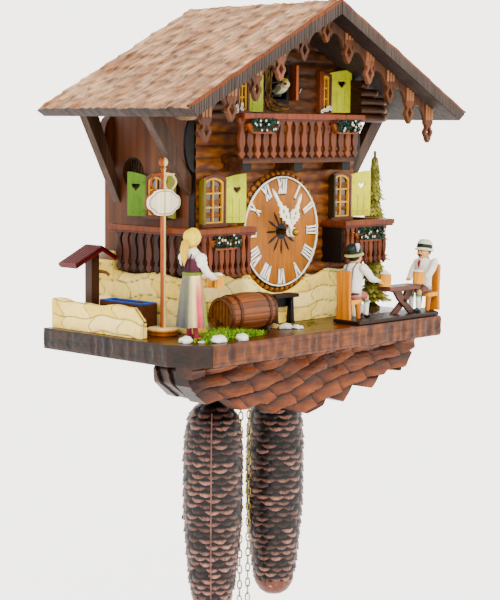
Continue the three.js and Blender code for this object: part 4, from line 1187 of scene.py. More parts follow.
def numeral(pile, text, angle, radius, tall, y, colour, bold, off=0.0):
    """Skeleton Roman numeral standing along the radius at angle, feet to the centre."""
    widths = {"I": 2.75, "V": 5.6, "X": 5.7}
    total = sum(widths[c] for c in text)
    cursor = -total / 2
    out = Vector((math.sin(angle), math.cos(angle)))
    across = Vector((math.cos(angle), -math.sin(angle)))

    def at(u, v):
        p = (out * (radius + v) + across * u * (0.86 + 0.2 * (v / tall + 0.5)))
        return (p.x + off, DIAL_Z + p.y - off)

    low, high = -tall / 2, tall / 2
    for letter in text:
        w = widths[letter]
        mid = cursor + w / 2
        if letter == "I":
            bars = [(mid, mid, bold)]
        elif letter == "V":
            bars = [(mid, mid - w * 0.33, bold * 1.15), (mid, mid + w * 0.33, bold * 0.75)]
        else:
            bars = [(mid + w * 0.33, mid - w * 0.33, bold * 1.15),
                    (mid - w * 0.33, mid + w * 0.33, bold * 0.75)]
        for below, above, thick in bars:
            stroke(pile, [at(below, low), at(above, high)], thick, y, y + 1.0, colour)
            stroke(pile, [at(above - 1.0, high), at(above + 1.0, high)], 0.6, y, y + 0.9, colour)
            if letter != "V":
                stroke(pile, [at(below - 1.0, low), at(below + 1.0, low)], 0.6, y, y + 0.9, colour)
        cursor += w


def round_line(radius, count=72):
    """A circle round the dial's centre."""
    return [(radius * math.sin(t), DIAL_Z + radius * math.cos(t)) for t in angles(count)]


def dial():
    """A turned face with a scalloped rim, one white ring and twelve dark darts round the hub."""
    rim, face = 49.0, -108.0
    sides = 192
    profile = [(0, 0.5), (6, 0.5), (7, 0.3), (18, 0.3), (27, 0.45), (42.4, 0.3), (43.0, 0.7), (45.2, 0.7),
               (45.8, 1.5), (47.4, 0.9), (49.0, 2.2), (49.0, 4.7)]
    verts, paint = [], []
    light, face_tone, brown, deep = (linear(c) for c in (0xD0904E, 0xC4884C, 0x6E4222, 0x1C0B05))
    for radius, depth in profile:
        for angle in angles(sides):
            wave = abs(math.sin(angle * 24))
            scallop = 1 - 0.02 * (1 - wave) * (radius > 46)
            lift = 0.7 * (1 - wave) if radius > 45.5 else 0
            r = radius * scallop
            verts.append((r * math.sin(angle), face + depth + lift, DIAL_Z + r * math.cos(angle)))
            # the scalloped rim is painted light on its lobes and brown in its dips: painted highlight and
            # painted shade
            if radius > 45.5:
                tone = blended(light, brown, 0.15 + 0.85 * (1 - wave) ** 0.7)
            elif radius > 42.8 or radius < 6.5:
                tone = deep
            else:
                tone = blended(face_tone, brown, 0.45 * max(0, 1 - radius / 20))
            paint.append(tone)
    pile = Pile()
    pile.add(verts, ring_faces(len(profile), sides), paint)
    pile.prism(round_line(rim), "y", -103.4, -103.8, 0x4A2818, holes=[round_line(3.4, 16)])
    for angle in angles(12):
        out, across = Vector((math.sin(angle), math.cos(angle))), Vector((math.cos(angle), -math.sin(angle)))
        points = [out * 6.5 - across * 0.35, out * 6.5 + across * 0.35, out * 13.0 + across * 1.0,
                  out * 15.5 + across * 0.8, out * 18.5, out * 15.5 - across * 0.8,
                  out * 13.0 - across * 1.0]
        pile.prism([(p.x, DIAL_Z + p.y) for p in points], "y", face + 0.4, face - 0.1, 0x2A1408)
    grain = wood("dial_wood", "z", rough=(0.38, 0.55), contrast=(0.78, 1.1), fine=260, long=20, bumps=0.22,
                 coat=0.1)
    pile.make("dial_face", grain, slot="dial_wood", replaces=["dial"], smooth=40)
    marks, shadow = Pile(), Pile()
    texts = ["XII", "I", "II", "III", "IIII", "V", "VI", "VII", "VIII", "IX", "X", "XI"]
    for angle, text in zip(angles(12), texts):
        numeral(marks, text, angle, 36.6, 11.4, face - 0.75, 0xFFFDF4, 1.4)
        # a bolder dark copy of each numeral, set a little right and down: a dark outline with a painted
        # shadow
        numeral(shadow, text, angle, 36.6, 12.0, face + 0.16, 0x120703, 2.15, off=0.3)
    marks.prism(round_line(44.7), "y", face - 0.5, face + 0.8, 0xFAF4E4, holes=[round_line(43.5)])
    for inner, outer in zip(round_line(45.0, 60), round_line(46.0, 60)):
        stroke(marks, [inner, outer], 0.45, face + 0.3, face + 1.4, 0x2A120A)
    ivory = painted("numeral_ivory", rough=(0.35, 0.5), contrast=(0.9, 1.03), coat=0.2)
    marks.make("dial_numerals", ivory, slot="hand_white", bevel=0.12)
    shadow.make("dial_numeral_outlines_and_shadows", beams_dark(), slot="dial_wood")


def hand_outline(length, wide):
    """A fretted hand: round boss, thin stem, serrated leaf in the middle and a long slim point."""
    right = [(0.1, -0.02), (0.3, 0.04), (0.14, 0.09), (0.1, 0.2), (0.28, 0.26), (0.18, 0.29), (0.42, 0.36),
             (0.32, 0.39), (0.5, 0.45), (0.36, 0.48), (0.4, 0.53), (0.24, 0.55), (0.12, 0.6), (0.2, 0.65),
             (0.1, 0.7), (0.13, 0.86), (0.04, 0.95), (0.0, 1.0)]
    side = [(du * wide, dv * length) for du, dv in right]
    return side + [(-u, v) for u, v in reversed(side[:-1])]


def hand(name, length, wide, angle, y):
    """A bone hand, pierced twice, turned to its angle from the upright."""
    pile = Pile()
    colour = 0xFBF6E8
    holes = [[(0.0, 0.3 * length), (0.1 * wide, 0.36 * length), (0.0, 0.41 * length),
              (-0.1 * wide, 0.36 * length)],
             [(0.0, 0.43 * length), (0.13 * wide, 0.475 * length), (0.0, 0.53 * length),
              (-0.13 * wide, 0.475 * length)]]
    pile.prism(hand_outline(length, wide), "y", y, y + 1.3, colour, holes=holes)
    pile.turned([(0, -0.1), (3.4, -0.1), (3.8, 0.3), (3.8, 1.2), (0, 1.4)], (0, y, 0), "y", colour, 24)
    turn = Matrix.Rotation(math.radians(angle), 4, "Y")
    pile.moved(Matrix.Translation((0, 0, DIAL_Z)) @ turn)
    bone = painted(name + "_bone", rough=(0.3, 0.45), contrast=(0.92, 1.02), coat=0.25)
    pile.make(name + "_fretted", bone, name, "hand_white", [name], bevel=0.15)


def hands():
    hand("minute_hand", 44, 11.5, -36, -121.6)
    hand("hour_hand", 33.5, 12.5, 24, -117.6)
    brass = metal("hand_brass", [(0.3, 0xA57C34), (0.7, 0xE2C070)])
    nut = Pile()
    nut.turned([(0, -3.6), (1.2, -3.6), (2.3, -3.0), (2.9, -1.8), (2.9, -0.6), (1.5, -0.2), (1.5, 34.0),
                (0, 34.0)], (0, -121.6, DIAL_Z), "y", BRASS, 24)
    for angle in angles(18):
        x, z = 2.9 * math.cos(angle), DIAL_Z + 2.9 * math.sin(angle)
        nut.tube([(x, -123.6, z), (x, -122.2, z)], 0.22, BRASS, 6)
    nut.make("minute_arbor", brass, "minute_hand", "brass")
    pipe = Pile()
    pipe.turned([(1.8, -0.4), (2.4, -0.4), (2.4, 26.0), (1.8, 26.0), (1.8, -0.4)], (0, -117.2, DIAL_Z), "y",
                BRASS, 20)
    pipe.make("hour_pipe", brass, "hour_hand", "brass")


# ---------------------------------------------------------------- cuckoo, door and nest
def cuckoo():
    rim = Pile()
    rng = random.Random(21)
    # a nest of twigs wound round the doorway
    for _ in range(150):
        start = rng.random() * 2 * math.pi
        span = rng.uniform(0.25, 0.7)
        grow = rng.uniform(0, 6.0)
        points = []
        for i in range(6):
            angle = start + span * i / 5
            cx, cz = math.cos(angle), math.sin(angle)
            hx, hz = 12.5 + grow, 15.0 + grow
            px = -0.5 + hx * bent(cx, 0.6)
            pz = 193.5 + hz * bent(cz, 0.6)
            px += rng.uniform(-0.7, 0.7)
            pz += rng.uniform(-0.7, 0.7)
            if -10.6 < px < 9.6 and 180.2 < pz < 208.6:
                pz = 180.0 if pz < 194 else 209.0
            if px > 8.0 and 179.5 < pz < 209.5:
                px = max(px, 9.8)
            points.append((px, -104.3 - (7.5 - grow) * 0.45 * rng.uniform(0.6, 1.1), pz))
        if any(p[0] > 8 and 176 < p[2] < 212 for p in points):
            continue
        tone = rng.choice((0x8A5E3A, 0xA2744C, 0x5C3C24, 0xB28A64, 0x8A7A50))
        rim.tube(points, rng.uniform(0.35, 0.7), tone, 5)
    twigs = wood("twig_wood", "z", rough=(0.5, 0.75), contrast=(0.6, 1.2), fine=500, long=120)
    rim.make("cuckoo_nest", twigs, slot="fret_wood", smooth=60)
    leaf = Pile()
    hinge = Vector((11.4, -104.6, 0))
    board = [(-20.4, 180.4), (-0.8, 180.4), (-0.8, 208.6), (-3.5, 209.2), (-10.5, 208.9), (-17.5, 209.0),
             (-20.4, 208.0)]
    leaf.prism(board, "y", -1.0, 1.0, 0xC0702E)
    leaf.prism([(-18.2, 182.6), (-2.8, 182.6), (-2.8, 206.4), (-18.2, 206.4)], "y", -1.0, -1.35, 0xA85C24,
               holes=[[(-16.6, 184.2), (-4.4, 184.2), (-4.4, 204.8), (-16.6, 204.8)]])
    for z in (186.0, 203.0):
        leaf.turned([(0, -1.8), (0.8, -1.8), (0.8, 1.8), (0, 1.8)], (-0.2, 0, z), "z", 0x9A8A60, 12)
    leaf.moved(Matrix.Translation(hinge) @ Matrix.Rotation(math.radians(60), 4, "Z"))
    door_wood = wood("door_wood", "z", rough=(0.38, 0.55), contrast=(0.62, 1.15), fine=280, long=16,
                     coat=0.15)
    leaf.make("cuckoo_door_leaf", door_wood, "cuckoo_door", "door_wood", ["cuckoo_door"], bevel=0.25)
    bird = Pile()
    x, y, z = -2.0, -107.0, 189.5
    white, cream, yellow, slate = 0xF4EED8, 0xECE4BC, 0xE0CC54, 0xA8A488

    def plump(u, v, w):
        return u * (1 - 0.25 * max(0, v)), v, w + 0.1 * u * u

    bird.ball((x, y + 0.5, z), (3.7, 8.2, 4.2), white, lean(-14), 20, 14, plump)
    bird.ball((x - 0.5, y - 6, z + 3.6), (3.4, 3.5, 3.4), cream, None, 18, 12)
    for k in range(5):
        bird.tube([(x - 0.5, y - 7.6 + k * 1.1, z + 6.4), (x - 0.8, y - 7.4 + k * 1.3, z + 7.5 + 0.3 * k),
                   (x - 0.6, y - 6.6 + k * 1.6, z + 8.0)], [0.9, 0.7, 0.15], yellow, 8)
    bird.tube([(x - 2.4, y - 7.6, z + 3.8), (x - 5.0, y - 9.1, z + 3.8), (x - 6.9, y - 10.2, z + 3.4)],
              [1.35, 0.9, 0.12], 0xC8301C, 10)
    for side in (-1, 1):
        bird.ball((x - 0.5 + side * 2.9 - 0.9, y - 7.2, z + 4.6), (0.45, 0.55, 0.55), 0x140C08, None, 10, 7)
        bird.ball((x + side * 3.1, y + 1.5, z - 0.4), (0.9, 5.6, 2.6), slate, lean(-16, 0, side * 4), 14, 9)
        for k in range(4):
            bird.tube([(x + side * 3.7, y - 1 + k * 1.3, z + 1.4 - k),
                       (x + side * 3.8, y + 3 + k * 1.2, z - 0.9 - k * 0.5)], [0.35, 0.12], cream, 6)
    for k in range(-2, 3):
        bird.tube([(x + k * 0.5, y + 6, z - 1.2), (x + k * 0.95, y + 13.8, z - 2.4)], [0.8, 0.5], slate, 8,
                  flat=0.5)
    bird.tube([(x, y, z - 5.4), (x, y + 20, z - 5.0), (x, -62, z - 5.0)], 0.9, STEEL_GREY, 8)
    bird.tube([(x, y, z - 5.4), (x, y, z - 2)], 0.8, STEEL_GREY, 8)
    feathers = painted("feather_paint", rough=(0.5, 0.7), contrast=(0.78, 1.08), fine=500, bumps=0.4)
    bird.make("cuckoo", feathers, "cuckoo_bird", "bird_paint", ["cuckoo_bird"], smooth=60)
    latch = Pile()
    latch.tube([(22, -104.6, 187), (22, -106.4, 187), (22.4, -106.9, 189.4), (23.6, -106.9, 190.6),
                (24.4, -106.6, 189.4)], 0.45, 0xD8D2C4, 8)
    latch.make("door_wire", metal("wire_steel", [(0.3, 0x8C8C88), (0.7, 0xD0D0CC)]), slot="steel")
    sill = flowers_cluster(-49, -104.5, 173.5, 5.2, 31)
    sill.take(flowers_cluster(53, -106.5, 174, 6.0, 33))
    sill.make("sill_flowers", painted("petal_paint", rough=(0.5, 0.7)), slot="window_yellow", smooth=50)


# ---------------------------------------------------------------- stonework, fountain and trough
def stone_paint(name):
    shader = Shader(name)
    grain = shader.mottle((260, 260, 260), 6, 0.4)
    cloud = shader.mottle((28, 28, 28), 3, 0.4)
    base = shader.mix(shader.paint(), shader.ramp(grain, [(0.25, 0.86), (0.6, 1.08)]))
    shader.join(shader.mix(base, shader.ramp(cloud, [(0.3, 0.9), (0.65, 1.1)])), "Base Color")
    shader.rough(grain, 0.62, 0.82)
    shader.bump(grain, 0.5, 0.0005)
    return shader.mat


def masonry(pile, start, end, heights, thick, seed, cell=(31.0, 12.5)):
    """A carved dry-stone wall from start to end; heights(distance) gives its wavering top."""
    rng = random.Random(seed)
    shades = (0xFBE6AE, 0xF8E0A4, 0xFDEAB8, 0xF6DC9C)
    start, end = Vector((*start, 0)), Vector((*end, 0))
    span = (end - start).length
    along = (end - start).normalized()
    out = Vector((along.y, -along.x, 0))
    steps = int(span / 0.9)
    rows, bulge, foot = 34, 0.75, 0.3
    jitter = [[rng.uniform(-0.32, 0.32) for _ in range(60)] for _ in range(12)]
    tones = [[rng.choice(shades) for _ in range(60)] for _ in range(12)]
    grid, paint = np.zeros((rows, steps + 1, 3)), np.zeros((rows, steps + 1, 4))
    joint = linear(0x34281A)
    for c in range(steps + 1):
        spot, dist = start.lerp(end, c / steps), span * c / steps
        top = heights(dist)
        for r in range(rows):
            z = foot + (top - foot) * r / (rows - 1)
            course = (z + 2.4 * math.sin(dist / 15) + 0.9 * math.sin(dist / 5.3)) / cell[1]
            level = int(math.floor(course)) % 12
            across = dist / cell[0] + jitter[level][5] * 3 + 0.12 * math.sin(z / 3 + level)
            block = int(math.floor(across)) % 60
            edge_u = min(across - math.floor(across), 1 - (across - math.floor(across))) * cell[0]
            edge_v = min(course - math.floor(course), 1 - (course - math.floor(course))) * cell[1]
            gap = min(edge_u, edge_v * 1.1)
            face = min(1.0, gap / 1.4) ** 0.5
            face_out = bulge * face + 0.45 * lumps(dist / 5, z / 5, level * 3 + block)
            crown = max(0.0, (r / (rows - 1) - 0.88) / 0.12)
            face_out -= crown ** 2 * 1.4
            point = spot + out * (face_out - bulge - 0.2)
            grid[r, c] = (point.x, point.y, z - 0.15 * crown)
            paint[r, c] = blended(joint, linear(tones[level][block]), gap / 0.75)
    behind = []
    for i in grid_rim(rows, steps + 1):
        r, c = divmod(i, steps + 1)
        spot = start.lerp(end, c / steps) - out * thick
        behind.append((spot.x, spot.y, grid[r, c][2]))
    pile.slab(grid, paint, behind)


def stonework():
    stones = stone_paint("carved_stone")
    pile = Pile()

    def front_top(dist):
        x = -109 + dist
        rise = 44.5 - 0.03 * dist + 2.2 * math.sin(dist / 13) + 1.2 * math.sin(dist / 5.1)
        under_dial = 75 - math.sqrt(max(0.0, 49.4 ** 2 - x * x)) - 0.6 if abs(x) < 48 else 99
        return max(6.0, min(rise, under_dial))

    def side_top(dist):
        return (58.0 if dist < 22.5 else 44.0) + 1.4 * math.sin(dist / 9)

    masonry(pile, (-109, -109.3), (93, -109.3), front_top, 4.4, 3)
    masonry(pile, (-107.3, -1.5), (-107.3, -107.0), side_top, 5.0, 4)
    pile.make("house_stone_wall", stones, slot="stone_paint", replaces=["stone_wall"], smooth=60)
    low = Pile()

    def wavy(dist):
        return 22.6 + 1.0 * math.sin(dist / 12.0
                                     + 1.2) + 0.5 * math.sin(dist / 5.0) - 0.95 * max(0.0, dist - 92.5)

    masonry(low, (-153.0, -2.0), (-153.0, -104.5), wavy, 3.0, 8, cell=(32.0, 12.0))
    masonry(low, (-145.6, -104.0), (-145.6, -2.5), lambda d: wavy(101.5 - d), 3.2, 9, cell=(20.0, 12.0))
    low.make("yard_wall", stones, slot="stone_paint", replaces=["low_wall"], smooth=60)
    rocks = Pile()
    rng = random.Random(17)
    spots = [(-141, -141, 5.4, 0xF8F4EC), (-121, -155, 6.2, 0xF8F4EE), (-100, -159, 6.0, 0xF2EEE6),
             (-25, -136, 5.2, 0xD8D4CC), (-17, -142, 3.8, 0xF2EEE6), (-30, -127, 5.0, 0xC8AE8C),
             (-111, -150, 2.4, 0xE8E2D4), (-134, -150, 2.6, 0xDDD6C8), (-9, -133, 2.6, 0xE6DFD2),
             (100, -128, 3.0, 0xE6E0D4), (72, -130, 2.6, 0xD8D0C2)]
    for n, (x, y, size, colour) in enumerate(spots):
        def craggy(u, v, w, n=n):
            bump = 1 + 0.28 * lumps(u * 1.6 + n * 5, v * 1.6, w * 1.6)
            return u * bump, v * bump, max(-0.55, w * bump)

        radii = (size * rng.uniform(1.0, 1.25), size * rng.uniform(0.75, 0.95),
                 size * rng.uniform(0.45, 0.62))
        rocks.ball((x, y, radii[2] * 0.52 + 0.1), radii, colour, lean(0, 0, rng.uniform(0, 180)), 22, 14,
                   craggy)
    rocks.make("yard_stones", stones, slot="stone_paint", smooth=70)


def fountain():
    red = painted("fountain_red", rough=(0.35, 0.5), contrast=(0.8, 1.06), coat=0.2)
    pile = Pile()
    pile.box(-133, -125, -19, -27, 0.3, 58, 0x6A4638)
    pile.prism([(-155, 52), (-127, 65.2), (-112, 56.8), (-112, 52.6), (-127, 60.6), (-153.5, 48.4)], "y",
               -13, -33, 0x9A2232)
    for y in (-13.0, -33.4):
        pile.prism([(-155, 51.8), (-127, 65.0), (-112, 56.6), (-112, 54.6), (-127, 62.6), (-154.4, 49.6)],
                   "y", y, y + 0.5, 0x6E1622)
    for k in range(6):
        y = -14.5 - 3.4 * k
        pile.tube([(-154.4, y, 52.5), (-127.2, y, 65.4)], 0.28, 0x7E1A28, 6)
        pile.tube([(-126.8, y, 65.4), (-112.4, y, 57.3)], 0.28, 0x7E1A28, 6)
    pile.make("fountain_roof", red, slot="fountain_paint", replaces=["fountain"], bevel=0.6)
    spout = Pile()
    spout.tube([(-125.5, -24, 44), (-121.5, -26, 44.2), (-118.5, -28.5, 43.0), (-117.6, -30.4, 41.0)],
               [1.5, 1.4, 1.3, 1.2], 0x9A6A3A, 14)
    spout.tube([(-125.2, -24, 44), (-124.0, -24.8, 44.1)], 2.3, 0x6E4A28, 14)
    spout.make("fountain_spout", beams_dark(), slot="fountain_paint", smooth=60)
    tub = Pile()
    x0, x1, y0, y1 = -127.5, -111.5, -30.0, -79.0
    outer = [(x0, y0), (x1, y0), (x1, y1), (x0, y1)]
    inner = [(x0 + 2.4, y0 - 2.4), (x1 - 2.4, y0 - 2.4), (x1 - 2.4, y1 + 2.4), (x0 + 2.4, y1 + 2.4)]
    tub.prism(outer, "z", 0.3, 4.2, 0x3A2218)
    tub.prism(outer, "z", 4.2, 22.0, 0x7A4A34, holes=[inner])
    tub.prism(outer, "z", 22.0, 23.0, 0x4A78E0, holes=[inner])
    for k in range(1, 5):
        tub.box(x1 - 0.1, x1 + 0.25, y0 - 49 * k / 5 - 0.2, y0 - 49 * k / 5 + 0.2, 1, 22, 0x181412)
    timber = wood("trough_timber", "y", rough=(0.45, 0.65), contrast=(0.6, 1.25), fine=260, long=16)
    tub.make("trough_tub", timber, slot="trough_wood", replaces=["trough"], bevel=0.4)
    water = Pile()
    cells, rows = 12, 30
    surface, tint = np.zeros((rows, cells, 3)), np.zeros((rows, cells, 4))
    for r in range(rows):
        for c in range(cells):
            wx = x0 + 2.5 + (x1 - x0 - 5.0) * c / (cells - 1)
            wy = y0 - 2.5 + (y1 - y0 + 5.0) * r / (rows - 1)
            surface[r, c] = (wx, wy, 21.2 + 0.35 * lumps(wx / 3, wy / 3, 0))
            tint[r, c] = blended(linear(0x2A6AD0), linear(0x8CC0F4), 0.5 + lumps(wx / 2, wy / 2, 4))
    water.slab(surface, tint, rim_places(surface, lambda x, y, z: (x, y, z - 3.0)))
    gloss = painted("water_paint", rough=(0.06, 0.16), contrast=(0.9, 1.05), coat=0.8)
    water.make("trough_water", gloss, slot="trough_wood", smooth=80)


def signpost():
    x, y = -122.5, -97.0
    pile = Pile()
    post = [(2.1, 5.6), (2.1, 60), (1.9, 118), (1.7, 126), (2.3, 127.0), (1.5, 128.2), (0, 128.4)]
    pile.turned(post, (x, y, 0), "z", 0xC47E3C, 28)
    orange, pale = linear(0xC47434), linear(0xF0DFB4)

    # painted highlight: the post, knob, arm and hangers go from orange to pale on the side towards +x and -y
    def painted_highlight_side(place, _):
        return blended(orange, pale, (place[0] - x) * 0.9 - (place[1] - y) * 0.75 - 0.3)

    pile.ball((x, y, 132), (3.6, 3.6, 3.7), 0xE8C088, None, 24, 16)
    arm = []
    for k in range(17):
        u = -13 + 26 * k / 16
        arm.append((x + u * 0.88, y, 122.9 + 0.5 * math.cos(u / 13 * math.pi)
                    + (0.5 if abs(u) > 11.5 else 0)))
    pile.tube(arm, [1.1 if 0 < k < 16 else 0.7 for k in range(17)], 0xF3E2B4, 12)
    # three hangers curling down from the cross-bar to the board
    for off, bulge, thick in ((-8.5, -4.6, 0.85), (8.5, 4.6, 0.85), (-3.6, 1.8, 0.6), (3.6, -1.8, 0.6)):
        hanger = [(x + off + bulge * math.sin(math.pi * k / 10), y - 0.4, 122.6 - 11.6 * k / 10)
                  for k in range(11)]
        pile.tube(hanger, thick, 0xF8EFD0, 10)
    pile.shade(painted_highlight_side)
    # the foot ring is painted lighter on its bead, darker in its groove and pale on top: painted highlight
    # and painted shade
    base = [(0, 0.3), (11.2, 0.3), (11.8, 1.6), (11.4, 3.0), (12.0, 4.0), (12.0, 5.2), (11.4, 5.9), (0, 6.0)]
    tones = [0xA8622E, 0xA8622E, 0xC07A40, 0x8E5228, 0xD89A5C, 0xF0CC98, 0xF6DEB4, 0xF6DEB4]
    pile.turned(base, (x, y, 0), "z", None, 48, colours=tones)

    def lobed(grow, dx=0.0):
        points = []
        for t in angles(60):
            u = (15.6 + grow + 1.3 * math.cos(4 * t)) * bent(math.cos(t), 0.55)
            v = (9.0 + grow + 0.9 * math.cos(4 * t)) * bent(math.sin(t), 0.7)
            points.append((x + dx + u, 101.5 + v))
        return points

    board = Pile()
    board.prism(lobed(0.6, -0.6), "y", y + 0.6, y + 1.9, 0xA8703A)
    board.prism(lobed(0.0), "y", y - 1.5, y + 0.5, 0xFFFBEC)
    board.prism(lobed(-1.4), "y", y - 1.75, y - 1.4, 0xFFF8E2)
    trim = [(p[0], y - 1.8, p[1]) for p in lobed(-1.4)]
    board.tube(trim, 0.3, 0xC99A58, 6, closed=True)
    timber = wood("sign_timber", "z", rough=(0.4, 0.6), contrast=(0.78, 1.06), fine=260, long=18, bumps=0.2)
    pile.make("signpost_turned", timber, slot="sign_wood", replaces=["signpost"], smooth=50)
    board.make("sign_board", timber, slot="sign_wood", bevel=0.35)


def barrel():
    cx, cy, cz, half, fat = -64.0, -127.0, 16.0, 26.0, 15.2
    staves = 18
    pile = Pile()
    verts, paint = [], []
    rings, around = 25, staves * 6
    rng = random.Random(9)
    tones = [0.8 + 0.35 * rng.random() for _ in range(staves)]
    wood_tone = linear(0xA66E54)
    for k in range(rings):
        u = -1 + 2 * k / (rings - 1)
        radius = fat * (1 - 0.2 * u * u)
        for i, angle in enumerate(angles(around)):
            joint = i % 6 == 0
            r = radius - 0.35 * joint
            verts.append((cx + u * half, cy + r * math.cos(angle), cz + r * math.sin(angle)))
            paint.append(tinted(wood_tone, tones[i // 6] * (0.55 if joint else 1)))
    pile.add(verts, ring_faces(rings, around), paint)
    for sign in (-1, 1):
        x_end = cx + sign * half
        r = fat * 0.8
        pile.turned([(r, 0), (r - 1.3, 0.1 * sign), (r - 1.5, -1.8 * sign), (0, -1.8 * sign)],
                    (x_end, cy, cz), "x", 0x9C6848, 48)
        for k in range(-3, 4):
            y = cy + k * 3.3
            reach = math.sqrt((r - 1.6) ** 2 - (k * 3.3) ** 2)
            pile.box(x_end - sign * 1.7, x_end - sign * 1.45, y - 0.12, y + 0.12, cz - reach, cz + reach,
                     0x2E1A10)
    oak = wood("barrel_oak", "x", rough=(0.38, 0.55), contrast=(0.62, 1.18), fine=300, long=16, coat=0.15)
    pile.make("barrel_staves", oak, slot="barrel_wood", replaces=["barrel"], smooth=40)
    hoops = Pile()
    for u in (-0.93, -0.62, 0.62, 0.93):
        radius = fat * (1 - 0.2 * u * u) + 0.05
        hoops.turned([(radius - 0.5, -1.5), (radius + 0.45, -1.4), (radius + 0.5, 1.3),
                      (radius - 0.5, 1.4)], (cx + u * half, cy, cz), "x", 0x7A4C38, 64)
    hoops.make("barrel_hoops", wood("hoop_wood", "y", rough=(0.35, 0.5), contrast=(0.6, 1.2), fine=300,
                                    long=40), slot="barrel_wood")
    tap = Pile()
    tap.turned([(0, 0), (1.6, 0), (1.3, 2.5), (0.9, 3.4), (0.9, 5.5), (0, 5.7)],
               (cx - half - 4.0, cy, cz - 7), "x", 0x6A4228, 16)
    tap.turned([(0, -2.2), (0.8, -2.0), (0.8, 2.2), (1.4, 2.8), (0, 3.4)], (cx - half - 2.6, cy, cz - 7),
               "z", 0x6A4228, 14)
    tap.make("barrel_tap", beams_dark(), slot="barrel_wood", smooth=50)
    cradle = Pile()
    bed = [(cy + 12 - 24 * i / 8, 5 - 3.6 * math.sin(math.pi * i / 8)) for i in range(1, 8)]
    outline = [(cy - 13, 0.3), (cy + 13, 0.3), (cy + 12, 5)] + bed + [(cy - 12, 5)]
    for x in (-80, -48):
        cradle.prism(outline, "x", x - 1.6, x + 1.6, 0x5E3A26)
    cradle.make("barrel_cradle", beams_dark(), slot="barrel_wood", bevel=0.3)


def furniture():
    mauve = wood("table_timber", "x", rough=(0.38, 0.55), contrast=(0.66, 1.16), fine=260, long=14, coat=0.12)
    amber = wood("chair_timber", "z", rough=(0.38, 0.55), contrast=(0.68, 1.14), fine=240, long=14, coat=0.15)
    pile = Pile()
    outline = [(33, -164), (140, -164), (156, -143), (156, -136), (33, -136)]
    pile.prism(outline, "z", 0.3, 3.3, 0x523226)
    pile.make("yard_platform", wood("platform_timber", "x", rough=(0.4, 0.6), contrast=(0.6, 1.2), fine=240,
                                    long=12), slot="table_wood", bevel=0.5)
    pile = Pile()
    top = 27.7
    pile.prism([(79, -145), (79, -159), (120.5, -159), (120.5, -145)], "z", top - 3.6, top, 0x8E6052)
    for k in (1, 2):
        pile.box(79.2, 120.3, -145 - 14 * k / 3 - 0.15, -145 - 14 * k / 3 + 0.15, top - 0.05, top + 0.12,
                 0x55301E)
    for way in (-1, 1):
        foot, head = 106 - 11 * way, 106 + 11 * way
        knee = 106 + 4.6 * way
        y0 = -149 if way > 0 else -151.6
        leg = [(foot - 4.6, 3.4), (foot + 4.4, 3.4), (knee + 4.5, 15.5), (head + 5.2, top - 3.5),
               (head - 5.2, top - 3.5), (knee - 4.5, 15.5)]
        pile.prism(leg, "y", y0, y0 - 2.4, 0x7E5648)
    pile.tube([(106, -147.6, 14.5), (106, -155.4, 14.5)], 1.5, 0x3A241C, 12)
    pile.box(90, 116, -150.2, -152.4, top - 5.4, top - 3.5, 0x6A4438)
    pile.make("yard_table", mauve, slot="table_wood", replaces=["table"], bevel=0.45)
    for side, tag, back, seat, y0, y1 in ((1, "left", 33, 50, -139, -153),
                                          (-1, "right", 150, 133, -144, -158)):
        chair = Pile()
        mid = (y0 + y1) / 2
        half = abs(y1 - y0) / 2
        crest = [(mid + half * math.cos(t), 42.0 + 1.5 * math.sin(t)) for t in np.linspace(0, math.pi, 13)]
        waist = [(mid - half * 0.9, 24), (mid - half * 0.9, 17), (mid - half, 3.5), (mid + half, 3.5),
                 (mid + half * 0.9, 17), (mid + half * 0.9, 24)]
        chair.prism(crest + waist, "x", back, back + 3 * side, 0xE6A02C)
        lo, hi = min(back + 3 * side, seat), max(back + 3 * side, seat)
        chair.prism([(lo, y0 + 0.2), (hi, y0 - 0.6), (hi, y1 + 0.6), (lo, y1 - 0.2)], "z", 15.9, 19.4,
                    0xF2B44A)
        for sy in (y0 - 2.4, y1 + 2.4):
            chair.tube([(seat - 3.4 * side, sy, 16.8), (seat - 2.0 * side, sy, 3.7)], [2.6, 1.7], 0xD8922E,
                       12)
        chair.make("chair_carved_" + tag, amber, slot="chair_wood", replaces=["chair_" + tag], bevel=0.4)
    bench = Pile()
    bench.prism([(-20, -110.2), (-20, -121), (8, -121), (8, -110.2)], "z", 22.0, 25.0, 0x4A3026)
    for x in (-15.5, 3.5):
        bench.prism([(-111.4, 0.4), (-119.8, 0.4), (-118.4, 4), (-117.6, 22.1), (-113.6, 22.1),
                     (-112.8, 4)], "x", x - 1.7, x + 1.7, 0x2E1C14)
    bench.box(-18, 6, -112.0, -113.0, 14, 22, 0x1E120C)
    bench.make("carved_bench", wood("bench_timber", "x", rough=(0.4, 0.6), contrast=(0.6, 1.2), fine=240,
                                    long=14), slot="bench_wood", replaces=["bench"], bevel=0.5)


